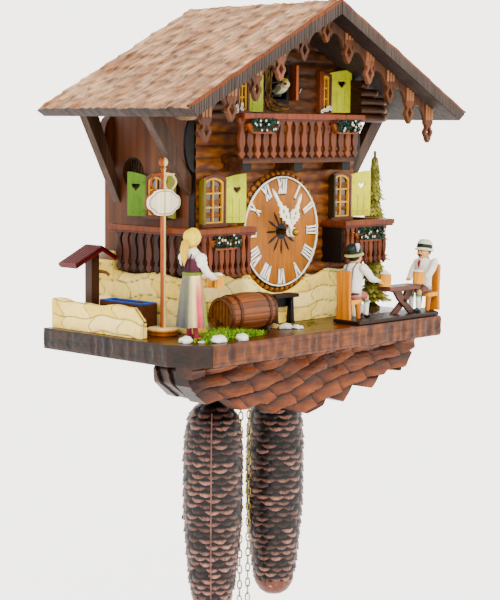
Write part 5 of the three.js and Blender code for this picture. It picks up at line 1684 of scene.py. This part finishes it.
def tree():
    """A turned fir whose tiers are cut into drooping shavings."""
    x, y = 137.0, -94.0
    pile = Pile()
    rng = random.Random(14)
    pile.turned([(0, 0.3), (6.8, 0.3), (6.8, 2.6), (4.6, 4.0), (2.2, 6), (1.8, 20), (1.6, 80), (1.1, 139),
                 (0, 139)], (x, y, 0), "z", 0x8A8240, 20)
    dusk = linear(0x4E4A20)
    tiers = [(10, 32, 17.5), (28, 50, 16.5), (46, 68, 15), (64, 86, 13), (82, 103, 11.5), (99, 120, 9.5),
             (115, 136, 7.0)]
    for low, high, wide in tiers:
        for ring in range(5):
            share = ring / 5
            count = max(9, int(wide * (1.55 - share)))
            for k in range(count):
                angle = 2 * math.pi * (k + 0.5 * (ring % 2)) / count + rng.uniform(-0.12, 0.12)
                reach = wide * (1 - 0.62 * share) * rng.uniform(0.9, 1.03)
                z_root = low + (high - low) * (share * 0.85 + 0.2)
                out = Vector((math.cos(angle), math.sin(angle), 0))
                side = Vector((-math.sin(angle), math.cos(angle), 0))
                tone = rng.choice((0xB0AC72, 0xBAB47A, 0x9A9660, 0xCCC690, 0xA6A26E))
                rows = []
                for i in range(6):
                    f = i / 5
                    width = 0.5 + 2.5 * math.sin(math.pi * min(1, f * 0.95 + 0.08)) * (wide / 16) ** 0.5
                    droop = Vector((0, 0, -8.5 * f ** 1.5 + 1.6 * max(0, f - 0.75) * 4))
                    spot = Vector((x, y, z_root)) + out * (1.2 + (reach - 1.2) * f) + droop
                    rows += [spot + side * width, spot + Vector((0, 0, 0.55)), spot - side * width,
                             spot - Vector((0, 0, 0.25))]
                closed_ends = [(0, 1, 2, 3), (23, 22, 21, 20)]
                # each shaving is painted darker towards its root, as the shade under the tier above
                shade = [blended(linear(tone), dusk, 0.8 * (1 - i / 5)) for i in range(6) for _ in range(4)]
                pile.add(rows, ring_faces(6, 4) + closed_ends, shade)
    needles = painted("fir_paint", rough=(0.5, 0.7), contrast=(0.75, 1.1), fine=500, bumps=0.3)
    pile.make("fir_tree", needles, slot="tree_paint", replaces=["tree"], smooth=50)


def moss():
    """Dyed moss and grass glued round the barrel and the foot of the post."""
    rng = random.Random(23)
    pile = Pile()
    greens = (0x6A9A2E, 0x9BB456, 0x548226, 0xBCD44A, 0xAAC850, 0x8AB440)
    for _ in range(2600):
        t = rng.random()
        x = -127 + 56 * t + rng.gauss(0, 4.5)
        y = -147 + 22 * t + rng.gauss(0, 4.2)
        if y > -118 or (x > -92 and y > -140 and x < -36):
            y = -142 - rng.random() * 7
        height = rng.uniform(3.0, 9.0) * (1 - 0.45 * abs(2 * t - 1))
        swing = rng.uniform(0, 2 * math.pi)
        bend = rng.uniform(0.5, 3.8)
        tone = rng.choice(greens)
        points = [(x, y, 0.05), (x + bend * 0.3 * math.cos(swing), y + bend * 0.3 * math.sin(swing),
                                 height * 0.6),
                  (x + bend * math.cos(swing), y + bend * math.sin(swing), height * rng.uniform(0.6, 1.0))]
        pile.tube(points, [0.34, 0.28, 0.06], tone, 3)
    for n in range(26):
        t = rng.random()
        x, y = -125 + 50 * t, -148 + 14 * t + rng.gauss(0, 2)

        def lumpy(u, v, w, n=n):
            bump = 1 + 0.35 * lumps(u * 2 + n, v * 2, w * 2)
            return u * bump, v * bump, max(-0.3, w * bump)

        radii = (rng.uniform(2, 4), rng.uniform(2, 3.4), rng.uniform(1.2, 2.4))
        pile.ball((x, y, 0.9), radii, rng.choice(greens[:3]), None, 12, 8, lumpy)
    for _ in range(150):
        x, y = rng.uniform(-45, 28), rng.gauss(-127, 5)
        if y > -122:
            y = -124
        swing = rng.uniform(0, 6.3)
        tone = rng.choice((0x8C9A4C, 0xA8A860, 0x6E7A38))
        tip = (x + 2.4 * math.cos(swing), y + 2.4 * math.sin(swing), rng.uniform(0.6, 2.2))
        pile.tube([(x, y, 0.05), tip], [0.28, 0.05], tone, 3)
    pile.make("moss_tufts", painted("moss_dye", rough=(0.7, 0.9), contrast=(0.7, 1.1)), slot="tree_paint",
              smooth=60)


# ---------------------------------------------------------------- painted figures
def doll_head(pile, centre, size, facing, hair):
    """A turned wooden head on doll's proportions: simple nose, painted eyes and mouth."""
    turn = lean(0, 0, facing)

    def at(u, v, w):
        return tuple(Vector(centre) + turn @ Vector((u * size, v * size, w * size)))

    pile.ball(centre, (size * 0.92, size * 0.98, size * 1.06), SKIN, turn, 24, 18)
    pile.ball(at(0, -0.98, -0.08), (size * 0.13, size * 0.16, size * 0.16), BLUSH, turn, 10, 8)
    for side in (-1, 1):
        pile.ball(at(side * 0.33, -0.88, 0.16), (size * 0.09, size * 0.06, size * 0.12), 0x2A1A14, turn, 10,
                  8)
        pile.tube([at(side * 0.2, -0.93, 0.36), at(side * 0.34, -0.9, 0.41), at(side * 0.46, -0.83, 0.37)],
                  size * 0.03, hair, 6)
        pile.ball(at(side * 0.93, 0.02, 0.0), (size * 0.1, size * 0.17, size * 0.22), SKIN, turn, 10, 8)
        pile.ball(at(side * 0.46, -0.8, -0.2), (size * 0.17, size * 0.06, size * 0.15), 0xEAA088, turn, 10, 8)
    pile.tube([at(-0.18, -0.9, -0.42), at(0, -0.93, -0.47), at(0.18, -0.9, -0.42)], size * 0.045, 0xA8483C, 8)
    pile.tube([at(0, 0, -0.8), at(0, 0.05, -1.35)], [size * 0.42, size * 0.46], SKIN, 16)


def limb(pile, points, radii, colours):
    """A rounded limb: the tube ends in half balls."""
    pile.tube(points, radii, None, 14, colours=colours)
    for end in (0, -1):
        pile.ball(points[end], radii[end], colours[end], None, 14, 8)


def mug(pile, spot, radius, tall, spin):
    """A clear amber mug with a handle and a head of foam."""
    turn = lean(0, 0, spin)
    pile.turned([(0, 0), (radius * 1.02, 0), (radius, 0.6), (radius * 0.94, tall * 0.5), (radius, tall),
                 (radius * 0.9, tall), (radius * 0.86, tall * 0.9), (0, tall * 0.88)], spot, "z", 0xF0B030,
                24)
    for angle in angles(8):
        out = Vector(spot) + Vector((math.cos(angle), math.sin(angle), 0)) * radius * 0.97
        pile.tube([out + Vector((0, 0, 0.8)), out + Vector((0, 0, tall - 1.0))], 0.25, 0xF8D070, 6)
    hand_loop = [Vector(spot) + turn @ Vector((radius * 0.9 + 1.9 * math.sin(t), 0,
                                               tall * 0.5 + tall * 0.3 * math.cos(t)))
                 for t in np.linspace(0, math.pi, 9)]
    pile.tube(hand_loop, 0.5, 0xD89A38, 8)
    foam = Vector(spot) + Vector((0, 0, tall))
    for dx, dy, r in ((0, 0, 0.86), (0.4, 0.2, 0.5), (-0.35, 0.3, 0.5), (0.1, -0.45, 0.5),
                      (-0.3, -0.2, 0.48)):
        radii = (radius * r, radius * r, 1.1 + 0.5 * (1 - r))
        pile.ball(foam + Vector((dx, dy, 0.1)) * radius * 0.9, radii, 0xFFF8EC, None, 14, 8)


def maiden():
    """The girl with the mugs: long folded skirt, bodice, puffed sleeves and a pony-tail, seen from behind."""
    x, y = -133.0, -139.0
    facing = 92
    turn = lean(0, 0, facing)

    def at(u, v, w):
        return tuple(Vector((x, y, 0)) + turn @ Vector((u, v, 0)) + Vector((0, 0, w)))

    skirt = Pile()
    rings = [(11.5, 11.3), (16, 10.9), (23, 10.2), (32, 9.2), (40, 8.4), (47, 7.4), (51, 6.9)]
    verts, paint = [], []
    around = 96
    grey, sage, cream, rose, wine, green = (linear(c) for c in (0x6A6C70, 0xB8B498, 0xFFF0C0, 0xF27E8A,
                                                                0xC84458, 0x90B060))
    for k, (z, radius) in enumerate(rings):
        low = 1 - k / (len(rings) - 1)
        for angle in angles(around):
            fold = math.sin(angle * 11 + 0.8 * math.sin(angle * 3)) * 0.07 * low ** 0.5
            r = radius * (1 + fold)
            verts.append((x + r * math.cos(angle), y + r * math.sin(angle),
                          z + 0.5 * math.sin(angle * 5) * (k == 0)))
            # round the skirt the colour runs from a grey side, painted as shade, through cream and red to
            # rose and green; inward folds are painted darker as shade
            across = math.cos(angle + math.radians(45))
            shade_left = blended(grey, sage, 0.5 * (1 - low))
            middle = blended(cream, sage, 0.4 * low)
            red = blended(blended(cream, rose, low * 2.2), wine, (low - 0.6) * 1.6)
            right = blended(rose, green, 0.3 + low)
            stops = ((-0.3, shade_left), (0.08, middle), (0.45, red), (0.72, red), (0.95, right))
            tone = shade_left
            for (u0, first), (u1, second) in zip(stops, stops[1:]):
                if across > u0:
                    tone = blended(first, second, (across - u0) / (u1 - u0))
            paint.append(blended(tone, tinted(tone, 0.5), -fold * 9))
    hem_and_waist = [tuple(reversed(range(around))),
                     tuple((len(rings) - 1) * around + i for i in range(around))]
    skirt.add(verts, ring_faces(len(rings), around) + hem_and_waist, paint)
    cloth = painted("figure_cloth", rough=(0.4, 0.55), contrast=(0.8, 1.06), bumps=0.25, coat=0.1)
    body = Pile()
    for side in (-1, 1):
        body.ball(at(side * 3.8, -4.0, 2.6), (2.8, 5.2, 2.4), 0xB02A3C, turn, 16, 10)
        body.tube([at(side * 3.6, -1, 2.4), at(side * 3.4, -0.5, 8), at(side * 3.0, 0, 14)],
                  [2.4, 2.0, 2.0], 0xC04A58, 12)
    body.turned([(6.8, 49.6), (7.0, 52), (7.6, 57), (8.0, 62), (7.2, 66), (4.2, 69), (2.4, 71)], (x, y, 0),
                "z", 0x7E3A4E, 40, squash=(0.88, 1.0),
                colours=[0x5E2438, 0x74304A, 0x7E3A4E, 0x84405A, 0xF6EEE2, 0xFAF4EA, SKIN])
    body.turned([(6.9, 49.6), (7.5, 50.2), (7.5, 51.6), (6.9, 52.2)], (x, y, 0), "z", 0x8C9A50, 36)

    def gathered(u, v, w):
        pleat = 1 + 0.05 * math.sin(9 * math.atan2(v, u))
        return u * pleat, v * pleat, w

    for side in (-1, 1):
        for row, (w, r) in enumerate(((62.5, 4.4), (59.0, 4.1))):
            body.ball(at(side * 8.2, -0.4 - row, w), (r, r * 1.05, r * 0.92), 0xFDF8F0, None, 22, 14,
                      gathered)
        limb(body, [at(side * 8.6, -1.6, 58.6), at(side * 8.8, -6.5, 51.5), at(side * 7.0, -14.5, 47.6),
                    at(side * 5.0, -20.0, 46.6)], [3.0, 2.9, 2.2, 1.8],
             [0xFDF8F0, 0xFAF2E8, 0xF8EEDC, SKIN])
        body.ball(at(side * 4.6, -21.6, 46.4), (1.9, 2.1, 1.7), SKIN, None, 12, 9)
        body.tube([at(side * 2.4, 6.6, 53), at(side * 3.6, 7.2, 60), at(side * 4.6, 5.6, 66)], 0.5,
                  0x5A2036, 8)
    body.tube([at(0, 7.0, 53), at(0, 7.6, 60), at(0, 6.8, 65)], 0.35, 0x5A2036, 8)
    for u, v, r in ((-4.0, -25.0, 3.6), (3.6, -24.6, 3.6), (0.0, -28.6, 3.4)):
        mug(body, at(u, v, 38.5), r, 9.6, facing)
    doll_head(body, at(0, -1.2, 76.6), 5.6, facing, 0xC8A048)
    hair = Pile()

    def tresses(u, v, w):
        wave = 1 + 0.045 * math.sin(16 * math.atan2(v, u) + 5 * w)
        return u * wave, v * wave, w

    for u, v, w, r in ((0, 1.4, 78.2, 5.9), (0, 2.0, 75.4, 5.3), (0, -1.0, 79.8, 5.2)):
        hair.ball(at(u, v, w), (r, r * 0.97, r * 0.96), 0xF4DC7C, turn, 44, 26, tresses)
    for side in (-1, 1):
        hair.ball(at(side * 3.9, -1.2, 78.2), (2.2, 3.6, 3.8), 0xF8E490, turn, 20, 12, tresses)
    for n in range(11):
        spread = (n - 5) * 0.5
        hair.tube([at(spread * 0.4, 5.8, 76.5), at(spread * 0.8, 7.6, 74.0), at(spread, 8.8, 69.0),
                   at(spread * 0.8, 8.8, 62.5), at(spread * 0.4, 8.9, 57.0 + abs(spread))],
                  [1.2, 1.4, 1.3, 1.0, 0.25], 0xF2D870 if n % 2 else 0xE0BC54, 8)
    hair.tube([at(1.9 * math.sin(t), 7.2, 74.4 + 1.6 * math.cos(t))
               for t in np.linspace(0, 2 * math.pi, 12, endpoint=False)], 0.6, 0xE8C868, 8, closed=True)
    locks = painted("hair_paint", rough=(0.35, 0.5), contrast=(0.72, 1.08), fine=420, bumps=0.3, coat=0.15)
    skirt.make("maiden_skirt", cloth, slot="figure_paint", smooth=60)
    body.make("maiden_body", cloth, slot="figure_paint", replaces=["maiden"], smooth=50)
    hair.make("maiden_hair", locks, slot="figure_paint", smooth=60)


def drinker(x, y, way, hat, band, brim_tone, hair_tone, shorts, brace_tone, boot, tie):
    """A seated man in shirt, shorts and hat; way is +1 when he faces +X."""
    pile = Pile()
    seat = 19.4

    def at(u, v, w):
        return (x + way * u, y + v, w)

    facing = 90 * way
    bowed = lean(0, 3.5 * way, 0)
    torso = [(6.2, seat), (7.2, seat + 2), (6.8, seat + 8), (7.4, seat + 15), (7.9, seat + 22),
             (7.4, seat + 26), (5.4, seat + 29), (2.6, seat + 30.4)]
    pile.turned(torso, (x - way, y, 0), "z", CLOTH_WHITE, 36, squash=(0.84, 1.06), lean=bowed,
                colours=[shorts, shorts] + [CLOTH_WHITE] * 6)
    for side in (-1, 1):
        limb(pile, [at(0, side * 3.2, seat + 2.8), at(6, side * 3.6, seat + 3.2),
                    at(10.0, side * 3.8, seat + 2.6)], [3.6, 3.5, 3.1], [shorts] * 3)
        limb(pile, [at(12.0, side * 3.8, seat + 1.6), at(12.8, side * 3.8, seat - 2.0)], [2.4, 2.4],
             [SKIN, 0x7E9C84])
        limb(pile, [at(12.8, side * 3.8, seat - 2.0), at(13.0, side * 3.8, seat - 4.6),
                    at(12.8, side * 3.8, 6.2)], [2.6, 2.3, 1.9], [0x7E9C84, 0xF6F4EC, 0xF2F0E8])
        pile.ball(at(14.2, side * 3.8, 5.3), (4.0, 2.2, 2.0), boot, None, 16, 10)
        pile.tube([at(-6.4, side * 2.8, seat + 5), at(-5.6, side * 3.2, seat + 17),
                   at(-4.6, side * 3.6, seat + 25.6), at(0.2, side * 3.8, seat + 30.0),
                   at(5.4, side * 3.6, seat + 27), at(6.6, side * 3.2, seat + 22),
                   at(6.4, side * 3.0, seat + 14), at(5.2, side * 2.8, seat + 5)], 0.75, brace_tone, 8)
    pile.tube([at(6.2, -3.2, seat + 18), at(7.2, 0, seat + 18.4), at(6.2, 3.2, seat + 18)], 0.75,
              brace_tone, 8)
    pile.turned([(6.0, seat + 3.6), (6.8, seat + 4.0), (6.8, seat + 5.2), (6.1, seat + 5.6)],
                (x - way * 0.6, y, 0), "z", 0x6A4A38, 32, squash=(0.88, 1.08))
    # the arm on the far side rests on the table
    limb(pile, [at(1, 7.4, seat + 25), at(5.5, 8.8, seat + 17.5), at(12.0, 7.0, seat + 12.2)],
         [3.2, 2.9, 2.2], [CLOTH_WHITE] * 3)
    pile.ball(at(14.2, 6.6, seat + 11.6), (2.1, 1.8, 1.5), SKIN, None, 12, 9)
    head_z = seat + 34.0
    doll_head(pile, at(2.0, 0, head_z), 5.6, facing, hair_tone)
    pile.ball(at(-0.4, 0, head_z + 1.0), (5.0, 5.6, 4.4), hair_tone, None, 24, 16)
    pile.tube([at(6.9, -2.2, head_z - 2.0), at(7.8, 0, head_z - 1.4), at(6.9, 2.2, head_z - 2.0)],
              [0.4, 0.9, 0.4], hair_tone, 8)
    if tie:
        pile.tube([at(6.4, 0, seat + 28.0), at(7.4, 0, seat + 25.6), at(7.6, 0, seat + 21.4)],
                  [1.0, 1.7, 0.7], tie, 10)
    pile.tube([at(4.2, -3.0, seat + 28.4), at(6.0, 0, seat + 27.2), at(4.2, 3.0, seat + 28.4)], 1.0,
              0xFFFFFF, 8)
    crown = [(0, 0), (7.9, -1.4), (8.5, -0.8), (8.1, 0.0), (6.7, 0.8), (6.7, 1.6), (6.7, 3.8), (6.2, 6.0),
             (4.8, 7.8), (2.4, 8.4), (0, 8.0)]
    tilt = lean(0, -9 * way, 0)
    brim = at(0.6, 0, head_z + 3.0)
    pile.turned(crown, brim, "z", hat, 40, squash=(1.02, 0.94), lean=tilt,
                colours=[hat, hat, brim_tone, brim_tone, brim_tone] + [hat] * 6)
    pile.turned([(6.7, 0.9), (7.1, 1.1), (7.0, 3.8), (6.5, 4.1)], brim, "z", band, 40, squash=(1.02, 0.94),
                lean=tilt)
    return pile


def hat_tuft(pile, x, y, z, way):
    """A chamois brush of pale hairs stuck in the hat band."""
    for n in range(13):
        spread = (n - 6) * 0.42
        pile.tube([(x, y, z), (x - way * 1.6 + spread * 0.4, y - 1.6, z + 3.4),
                   (x - way * 2.4 + spread, y - 1.8, z + 7.2)], [0.5, 0.9, 0.15],
                  0xF4F2E8 if n % 2 else 0xA8AEB0, 6)


def drinker_arm(x, y, reach_x, reach_y, way):
    """The sleeve, hand and mug that the arm joint lifts."""
    pile = Pile()
    shoulder = Vector((x, y, 46))
    mug_spot = Vector((reach_x, reach_y, 28.4))
    elbow = shoulder + Vector((way * 9, -1.6, -9.5))
    wrist = mug_spot + Vector((-way * 7.0, 0.4, 4.6))
    sleeve_end = elbow.lerp(wrist, 0.45)
    limb(pile, [shoulder, shoulder.lerp(elbow, 0.5) + Vector((0, -0.6, 0)), elbow, sleeve_end],
         [3.3, 3.2, 2.9, 2.5], [CLOTH_WHITE] * 4)
    limb(pile, [sleeve_end, wrist], [1.9, 1.6], [CLOTH_WHITE, SKIN])
    for k in range(4):
        grip = mug_spot + Vector((-way * 5.2, -1.6 + 1.1 * k, 2.6 + 0.5 * k))
        pile.ball(grip, (1.3, 0.8, 0.8), SKIN, None, 10, 8)
    pile.ball(wrist + Vector((way * 0.8, 0, -0.6)), (1.7, 1.6, 1.7), SKIN, None, 14, 10)
    mug(pile, mug_spot, 4.9, 10.0, 0 if way < 0 else 180)
    return pile


def drinkers():
    cloth = painted("drinker_paint", rough=(0.4, 0.56), contrast=(0.82, 1.05), bumps=0.22, coat=0.1)
    left = drinker(46, -146, 1, 0x3E5244, 0x24362C, 0xC8C494, 0x4A2A18, 0xC8807A, 0x8A8C94, 0x3A302C, None)
    hat_tuft(left, 44.2, -151.6, 58.5, 1)
    right = drinker(136, -151, -1, 0xE2E6D2, 0x22402E, 0xF6EFDC, 0x6A4028, 0x8E6258, 0x3A4038, 0x44605C,
                    0xC82A24)
    arms = (drinker_arm(46, -156.6, 79, -153.5, 1), drinker_arm(136, -161.6, 118, -158.5, -1))
    for tag, man in (("left", left), ("right", right)):
        man.make(f"drinker_{tag}_body", cloth, slot="figure_paint", replaces=["drinker_" + tag], smooth=50)
    for tag, arm in zip(("left", "right"), arms):
        arm.make(f"drinker_{tag}_arm", cloth, "arm_" + tag, "figure_paint", ["drinker_arm_" + tag], smooth=50)


# ---------------------------------------------------------------- chains, weights and pendulum
def chain(pile, x, bottom, top):
    """Upright links of round wire, each a quarter turn from the last."""
    wire = 0.62
    count = int(round((top - bottom) / 6.6))
    pitch = (top - bottom) / count
    for n in range(count):
        z = bottom + pitch * (n + 0.5)
        spin = math.radians(45 + 90 * (n % 2) + 6 * math.sin(n * 1.7))
        half, wide = pitch / 2 + wire * 0.85, 1.75
        loop = []
        for t in angles(14):
            u = wide * bent(math.cos(t), 0.8)
            loop.append((x + u * math.cos(spin), CHAIN_Y + u * math.sin(spin), z + half * math.sin(t)))
        pile.tube(loop, wire, BRASS, 6, closed=True)


def ring(pile, centre, radius, wire, spin):
    """An upright pull ring."""
    across = Vector((math.cos(spin), math.sin(spin), 0))
    loop = [Vector(centre) + across * radius * math.cos(t) + Vector((0, 0, radius * math.sin(t)))
            for t in np.linspace(0, 2 * math.pi, 28, endpoint=False)]
    pile.tube(loop, wire, BRASS, 10, closed=True)


def chains():
    brass = metal("chain_brass", [(0.25, 0x8E7A4A), (0.5, 0xC8B078), (0.75, 0xF6EBC4)], rough=(0.2, 0.42),
                  scale=(420, 420, 420))
    for sign, tag in ((-1, "left"), (1, "right")):
        load = Pile()
        chain(load, sign * WEIGHT_X, -50.0, 170)
        load.make("load_chain_" + tag, brass, "weight_" + tag, "brass", ["chain_" + tag + "_load"], smooth=60)
        free = Pile()
        chain(free, sign * 5, -262, 40)
        ring(free, (sign * 5, CHAIN_Y, -267), 4.6, 0.8, math.radians(45))
        free.make("pull_chain_" + tag, brass, "free_chain_" + tag, "brass", ["chain_" + tag + "_free"],
                  smooth=60)


def cone_radius(z):
    """Radius of a weight over its scales, at height z."""
    profile = [(-241, 9), (-238.5, 12), (-230, 16.5), (-218, 19.5), (-188, 22.5), (-154, 25), (-112, 25),
               (-92, 24), (-78, 21.5), (-69, 16), (-64, 8.5), (-62, 1)]
    return float(np.interp(z, [p[0] for p in profile], [p[1] for p in profile]))


def weights():
    """Fir-cone weights: rows of pointed scales over a dark core, with a plain cap at the foot."""
    iron = painted("cone_paint", rough=(0.34, 0.52), contrast=(0.3, 1.3), fine=620, bumps=0.6, coat=0.2,
                   blotch=70)
    brass = metal("hook_brass", [(0.3, 0x8A6A34), (0.7, 0xD8B468)])
    for sign, tag in ((-1, "left"), (1, "right")):
        x, y = sign * WEIGHT_X, CHAIN_Y
        pile = Pile()
        rng = random.Random(40 + sign)
        core = [(0, -241)] + [(max(0.4, cone_radius(z) - 1.9), z)
                              for z in np.linspace(-236, -63, 40)] + [(0, -62)]
        pile.turned(core, (x, y, 0), "z", 0x231A1A, 48)
        pile.turned([(0, -241), (8.4, -240.6), (12.6, -237.5), (16.4, -231), (17.2, -227.6), (15.8, -226.8),
                     (0, -226.5)], (x, y, 0), "z", 0xA06A5C, 48)
        row_pitch, z, row = 4.9, -62.6, 0
        dusk, copper, pink = linear(0x1C1C22), linear(0x3C3034), linear(0xD4A498)
        while z > -226:
            radius = cone_radius(z)
            count = max(7, int(round(2 * math.pi * 25 / 12.8 * (0.55 + 0.45 * radius / 25))))
            wide = 2 * math.pi / count
            for k in range(count):
                middle = wide * (k + 0.5 * (row % 2)) + rng.uniform(-0.02, 0.02)
                lift = rng.uniform(0.8, 1.15)
                worn = rng.choice((0.1, 0.3, 0.55, 0.8, 1.1))
                verts, paint = [], []
                across, down = 7, 6
                for j in range(down):
                    f = j / (down - 1)
                    spread = 0.58 * (1.0 if f < 0.7 else math.sqrt(max(0.25, 1 - ((f - 0.7) / 0.36) ** 2)))
                    for i in range(across):
                        u = -1 + 2 * i / (across - 1)
                        arch = 1 - u * u
                        zz = z - 8.4 * f + 0.9 * u * u * max(0,
                                                             f - 0.4) + 0.5 * lumps(middle * 5 + u * 2, z, f)
                        r = cone_radius(zz) - 1.7 + (2.15
                                                     * f ** 1.3) * lift * (0.45 + 0.55 * arch) + 0.25 * arch
                        r += 0.3 * lumps(middle * 9 + u, f * 3, row)
                        angle = middle + u * wide * spread
                        verts.append((x + r * math.cos(angle), y + r * math.sin(angle), zz))
                        grime = 0.5 + 0.5 * lumps(middle * 7 + u * 2.5, z / 3, f * 4)
                        # each scale is painted darkest at its root and sides, as shade under the row above
                        # and beside its neighbours, and turns copper towards the middle of its tip
                        tone = blended(dusk, copper, f * arch * grime)
                        fleck = min(1, max(0, f - 0.62) * 5.0) * (0.35
                                                                  + 0.65 * arch) * (0.3 + 0.9 * grime) * worn
                        paint.append(blended(tone, pink, fleck))
                faces = [(j * across + i, j * across + i + 1, (j + 1) * across + i + 1, (j + 1) * across + i)
                         for j in range(down - 1) for i in range(across - 1)]
                # the tip and both sides of the scale turn in towards the core, painted dark as shade
                tip = [(down - 1) * across + i for i in range(across)]
                sides = [[j * across + i for j in range(down)] for i in (0, across - 1)]
                for edge, inwards, lift_by in ((tip, 1.9, 1.0), (sides[0], 1.4, 0.0), (sides[1], 1.4, 0.0)):
                    begin = len(verts)
                    for i in edge:
                        px, py, pz = verts[i]
                        away = Vector((px - x, py - y, 0))
                        away *= max(0.0, 1 - inwards / away.length)
                        verts.append((x + away.x, y + away.y, pz + lift_by))
                        paint.append(dusk)
                    faces += [(edge[n], edge[n + 1], begin + n + 1, begin + n) for n in range(len(edge) - 1)]
                pile.add(verts, faces, paint)
            z -= row_pitch
            row += 1
        if sign < 0:
            # the casting seam down the left weight
            out = Vector((math.cos(math.radians(221)), math.sin(math.radians(221)), 0))
            seam = [Vector((x, y, z)) + out * (cone_radius(z) + 0.35) for z in np.linspace(-226, -72, 60)]
            pile.tube(seam, 0.55, 0xB08078, 8)
        pile.make("cone_weight_" + tag, iron, "weight_" + tag, "cone_iron", ["weight_" + tag], smooth=55)
        hook = Pile()
        collar = [(0, -63.5), (4.4, -63.2), (4.0, -61.8), (1.8, -60.8), (1.2, -59.6), (0, -59.4)]
        hook.turned(collar, (x, y, 0), "z", BRASS, 24)
        bend = [(x, y, -60.4), (x, y, -58.2)]
        bend += [(x + 2.4 * math.sin(t), y, -54.6 - 2.6 * math.cos(t)) for t in np.linspace(0.3, 5.2, 14)]
        hook.tube(bend, 0.75, BRASS, 10)
        hook.make("weight_hook_" + tag, brass, "weight_" + tag, "brass", smooth=60)


def pendulum():
    """A flat stick with a carved vine leaf that slides on it."""
    y, z0 = -26.0, -162.0
    rows, around = 26, 150
    verts, paint = [], []
    pale, brown, dark = (linear(c) for c in (0xB8794A, 0x7E4A2A, 0x3A1E10))
    for k in range(rows):
        f = k / (rows - 1)
        for t in angles(around):
            lobes = 0.8 + 0.14 * math.cos(5 * t) + 0.045 * math.cos(15 * t) + 0.012 * math.cos(35 * t)
            u, v = 31.6 * lobes * f * math.sin(t), 33.5 * lobes * f * math.cos(t + math.pi)
            vein = min(abs(math.sin(2.5 * t)) * f * 8, 1.0)
            side_vein = 0.5 + 0.5 * math.cos(f * 34 - abs(math.sin(2.5 * t)) * 6)
            depth = 1.3 * (1 - vein) + 0.5 * side_vein * vein + 1.1 * (1 - f) ** 0.5
            verts.append((u, y - 2.2 * (0.25 + 0.3 * (1 - f ** 4)) - depth * 0.55 * (1 if f < 1 else 0),
                          z0 + v))
            # the raised leaf is painted pale and the vein grooves brown, with a dark rim where the edge turns
            # back: painted highlight and painted shade
            tone = blended(brown, pale, 0.8 * (1 - vein) + 0.35 * side_vein)
            paint.append(blended(tone, dark, max(0, f - 0.9) * 6 + 0.2 * vein))
    verts += [(u, y + 2.0, w) for u, _, w in verts[-around:]]
    paint += [dark] * around
    back = tuple(rows * around + i for i in range(around))
    pile = Pile()
    pile.add(verts, ring_faces(rows + 1, around) + [back], paint)
    carved = wood("pendulum_leaf_wood", "z", rough=(0.36, 0.54), contrast=(0.6, 1.18), fine=300, long=30,
                  coat=0.15)
    pile.make("pendulum_leaf", carved, "pendulum", "shelf_wood", ["pendulum"], smooth=50)
    stick = Pile()
    stick.prism([(-1.9, y - 1.0), (1.9, y - 1.0), (1.9, y + 1.0), (-1.9, y + 1.0)], "z", -158, 58, 0x8A5A38)
    stick.tube([(0, y, 57), (0, y, 62), (0.4, y, 64), (0, y, 66.4)], 0.7, 0x8A8A84, 8)
    stick.prism([(-5, y + 1.1), (5, y + 1.1), (5, y + 1.9), (-5, y + 1.9)], "z", -172, -150, 0xB08A48)
    stick.make("pendulum_stick", carved, "pendulum", "shelf_wood", bevel=0.3)


# ---------------------------------------------------------------- inside the case
def works():
    brass = metal("plate_brass", [(0.25, 0x9A7430), (0.5, 0xC49C50), (0.75, 0xDEBE78)], rough=(0.22, 0.38),
                  scale=(120, 120, 900))
    steel = metal("arbor_steel", [(0.3, 0x7C7C7A), (0.7, 0xB4B4B0)], rough=(0.2, 0.35))
    dress(brass, "movement_front_plate", "movement_back_plate", "going_chain_wheel", "strike_chain_wheel",
          "escape_wheel", edge=0.25)
    dress(steel, "verge", edge=0.15)
    fold = wood("bellows_cloth", "z", stops=[(0.3, 0x6A4A34), (0.5, 0x9A7250), (0.7, 0xB08A64)], fine=900,
                long=900, bumps=0.25)
    lids = wood("bellows_lid_wood", "y", stops=[(0.3, 0xB08A5C), (0.55, 0xD2AE7C), (0.8, 0xE0C494)],
                fine=240, long=12, bumps=0.2)
    dress(fold, "bellows_left", "bellows_right", edge=0.4)
    dress(lids, "bellows_lid_left", "bellows_lid_right", edge=0.35)
    pleats = Pile()
    for x in (-70, 70):
        for k in range(7):
            z = 106 + 6.6 * k
            loop = [(x - 13.2, -46.2, z), (x + 13.2, -46.2, z), (x + 13.2, -7.8, z), (x - 13.2, -7.8, z)]
            pleats.tube(loop, 0.7, 0xC0A076, 6, closed=True)
    pleats.make("bellows_pleats", fold, slot="bellows_wood", smooth=60)


add_camera()
chains()
add_studio()
roof()
fretwork()
house()
shelf()
apron()
upper_balcony()
lower_balconies()
windows()
dial()
hands()
cuckoo()
stonework()
fountain()
signpost()
barrel()
furniture()
tree()
moss()
maiden()
drinkers()
weights()
pendulum()
works()
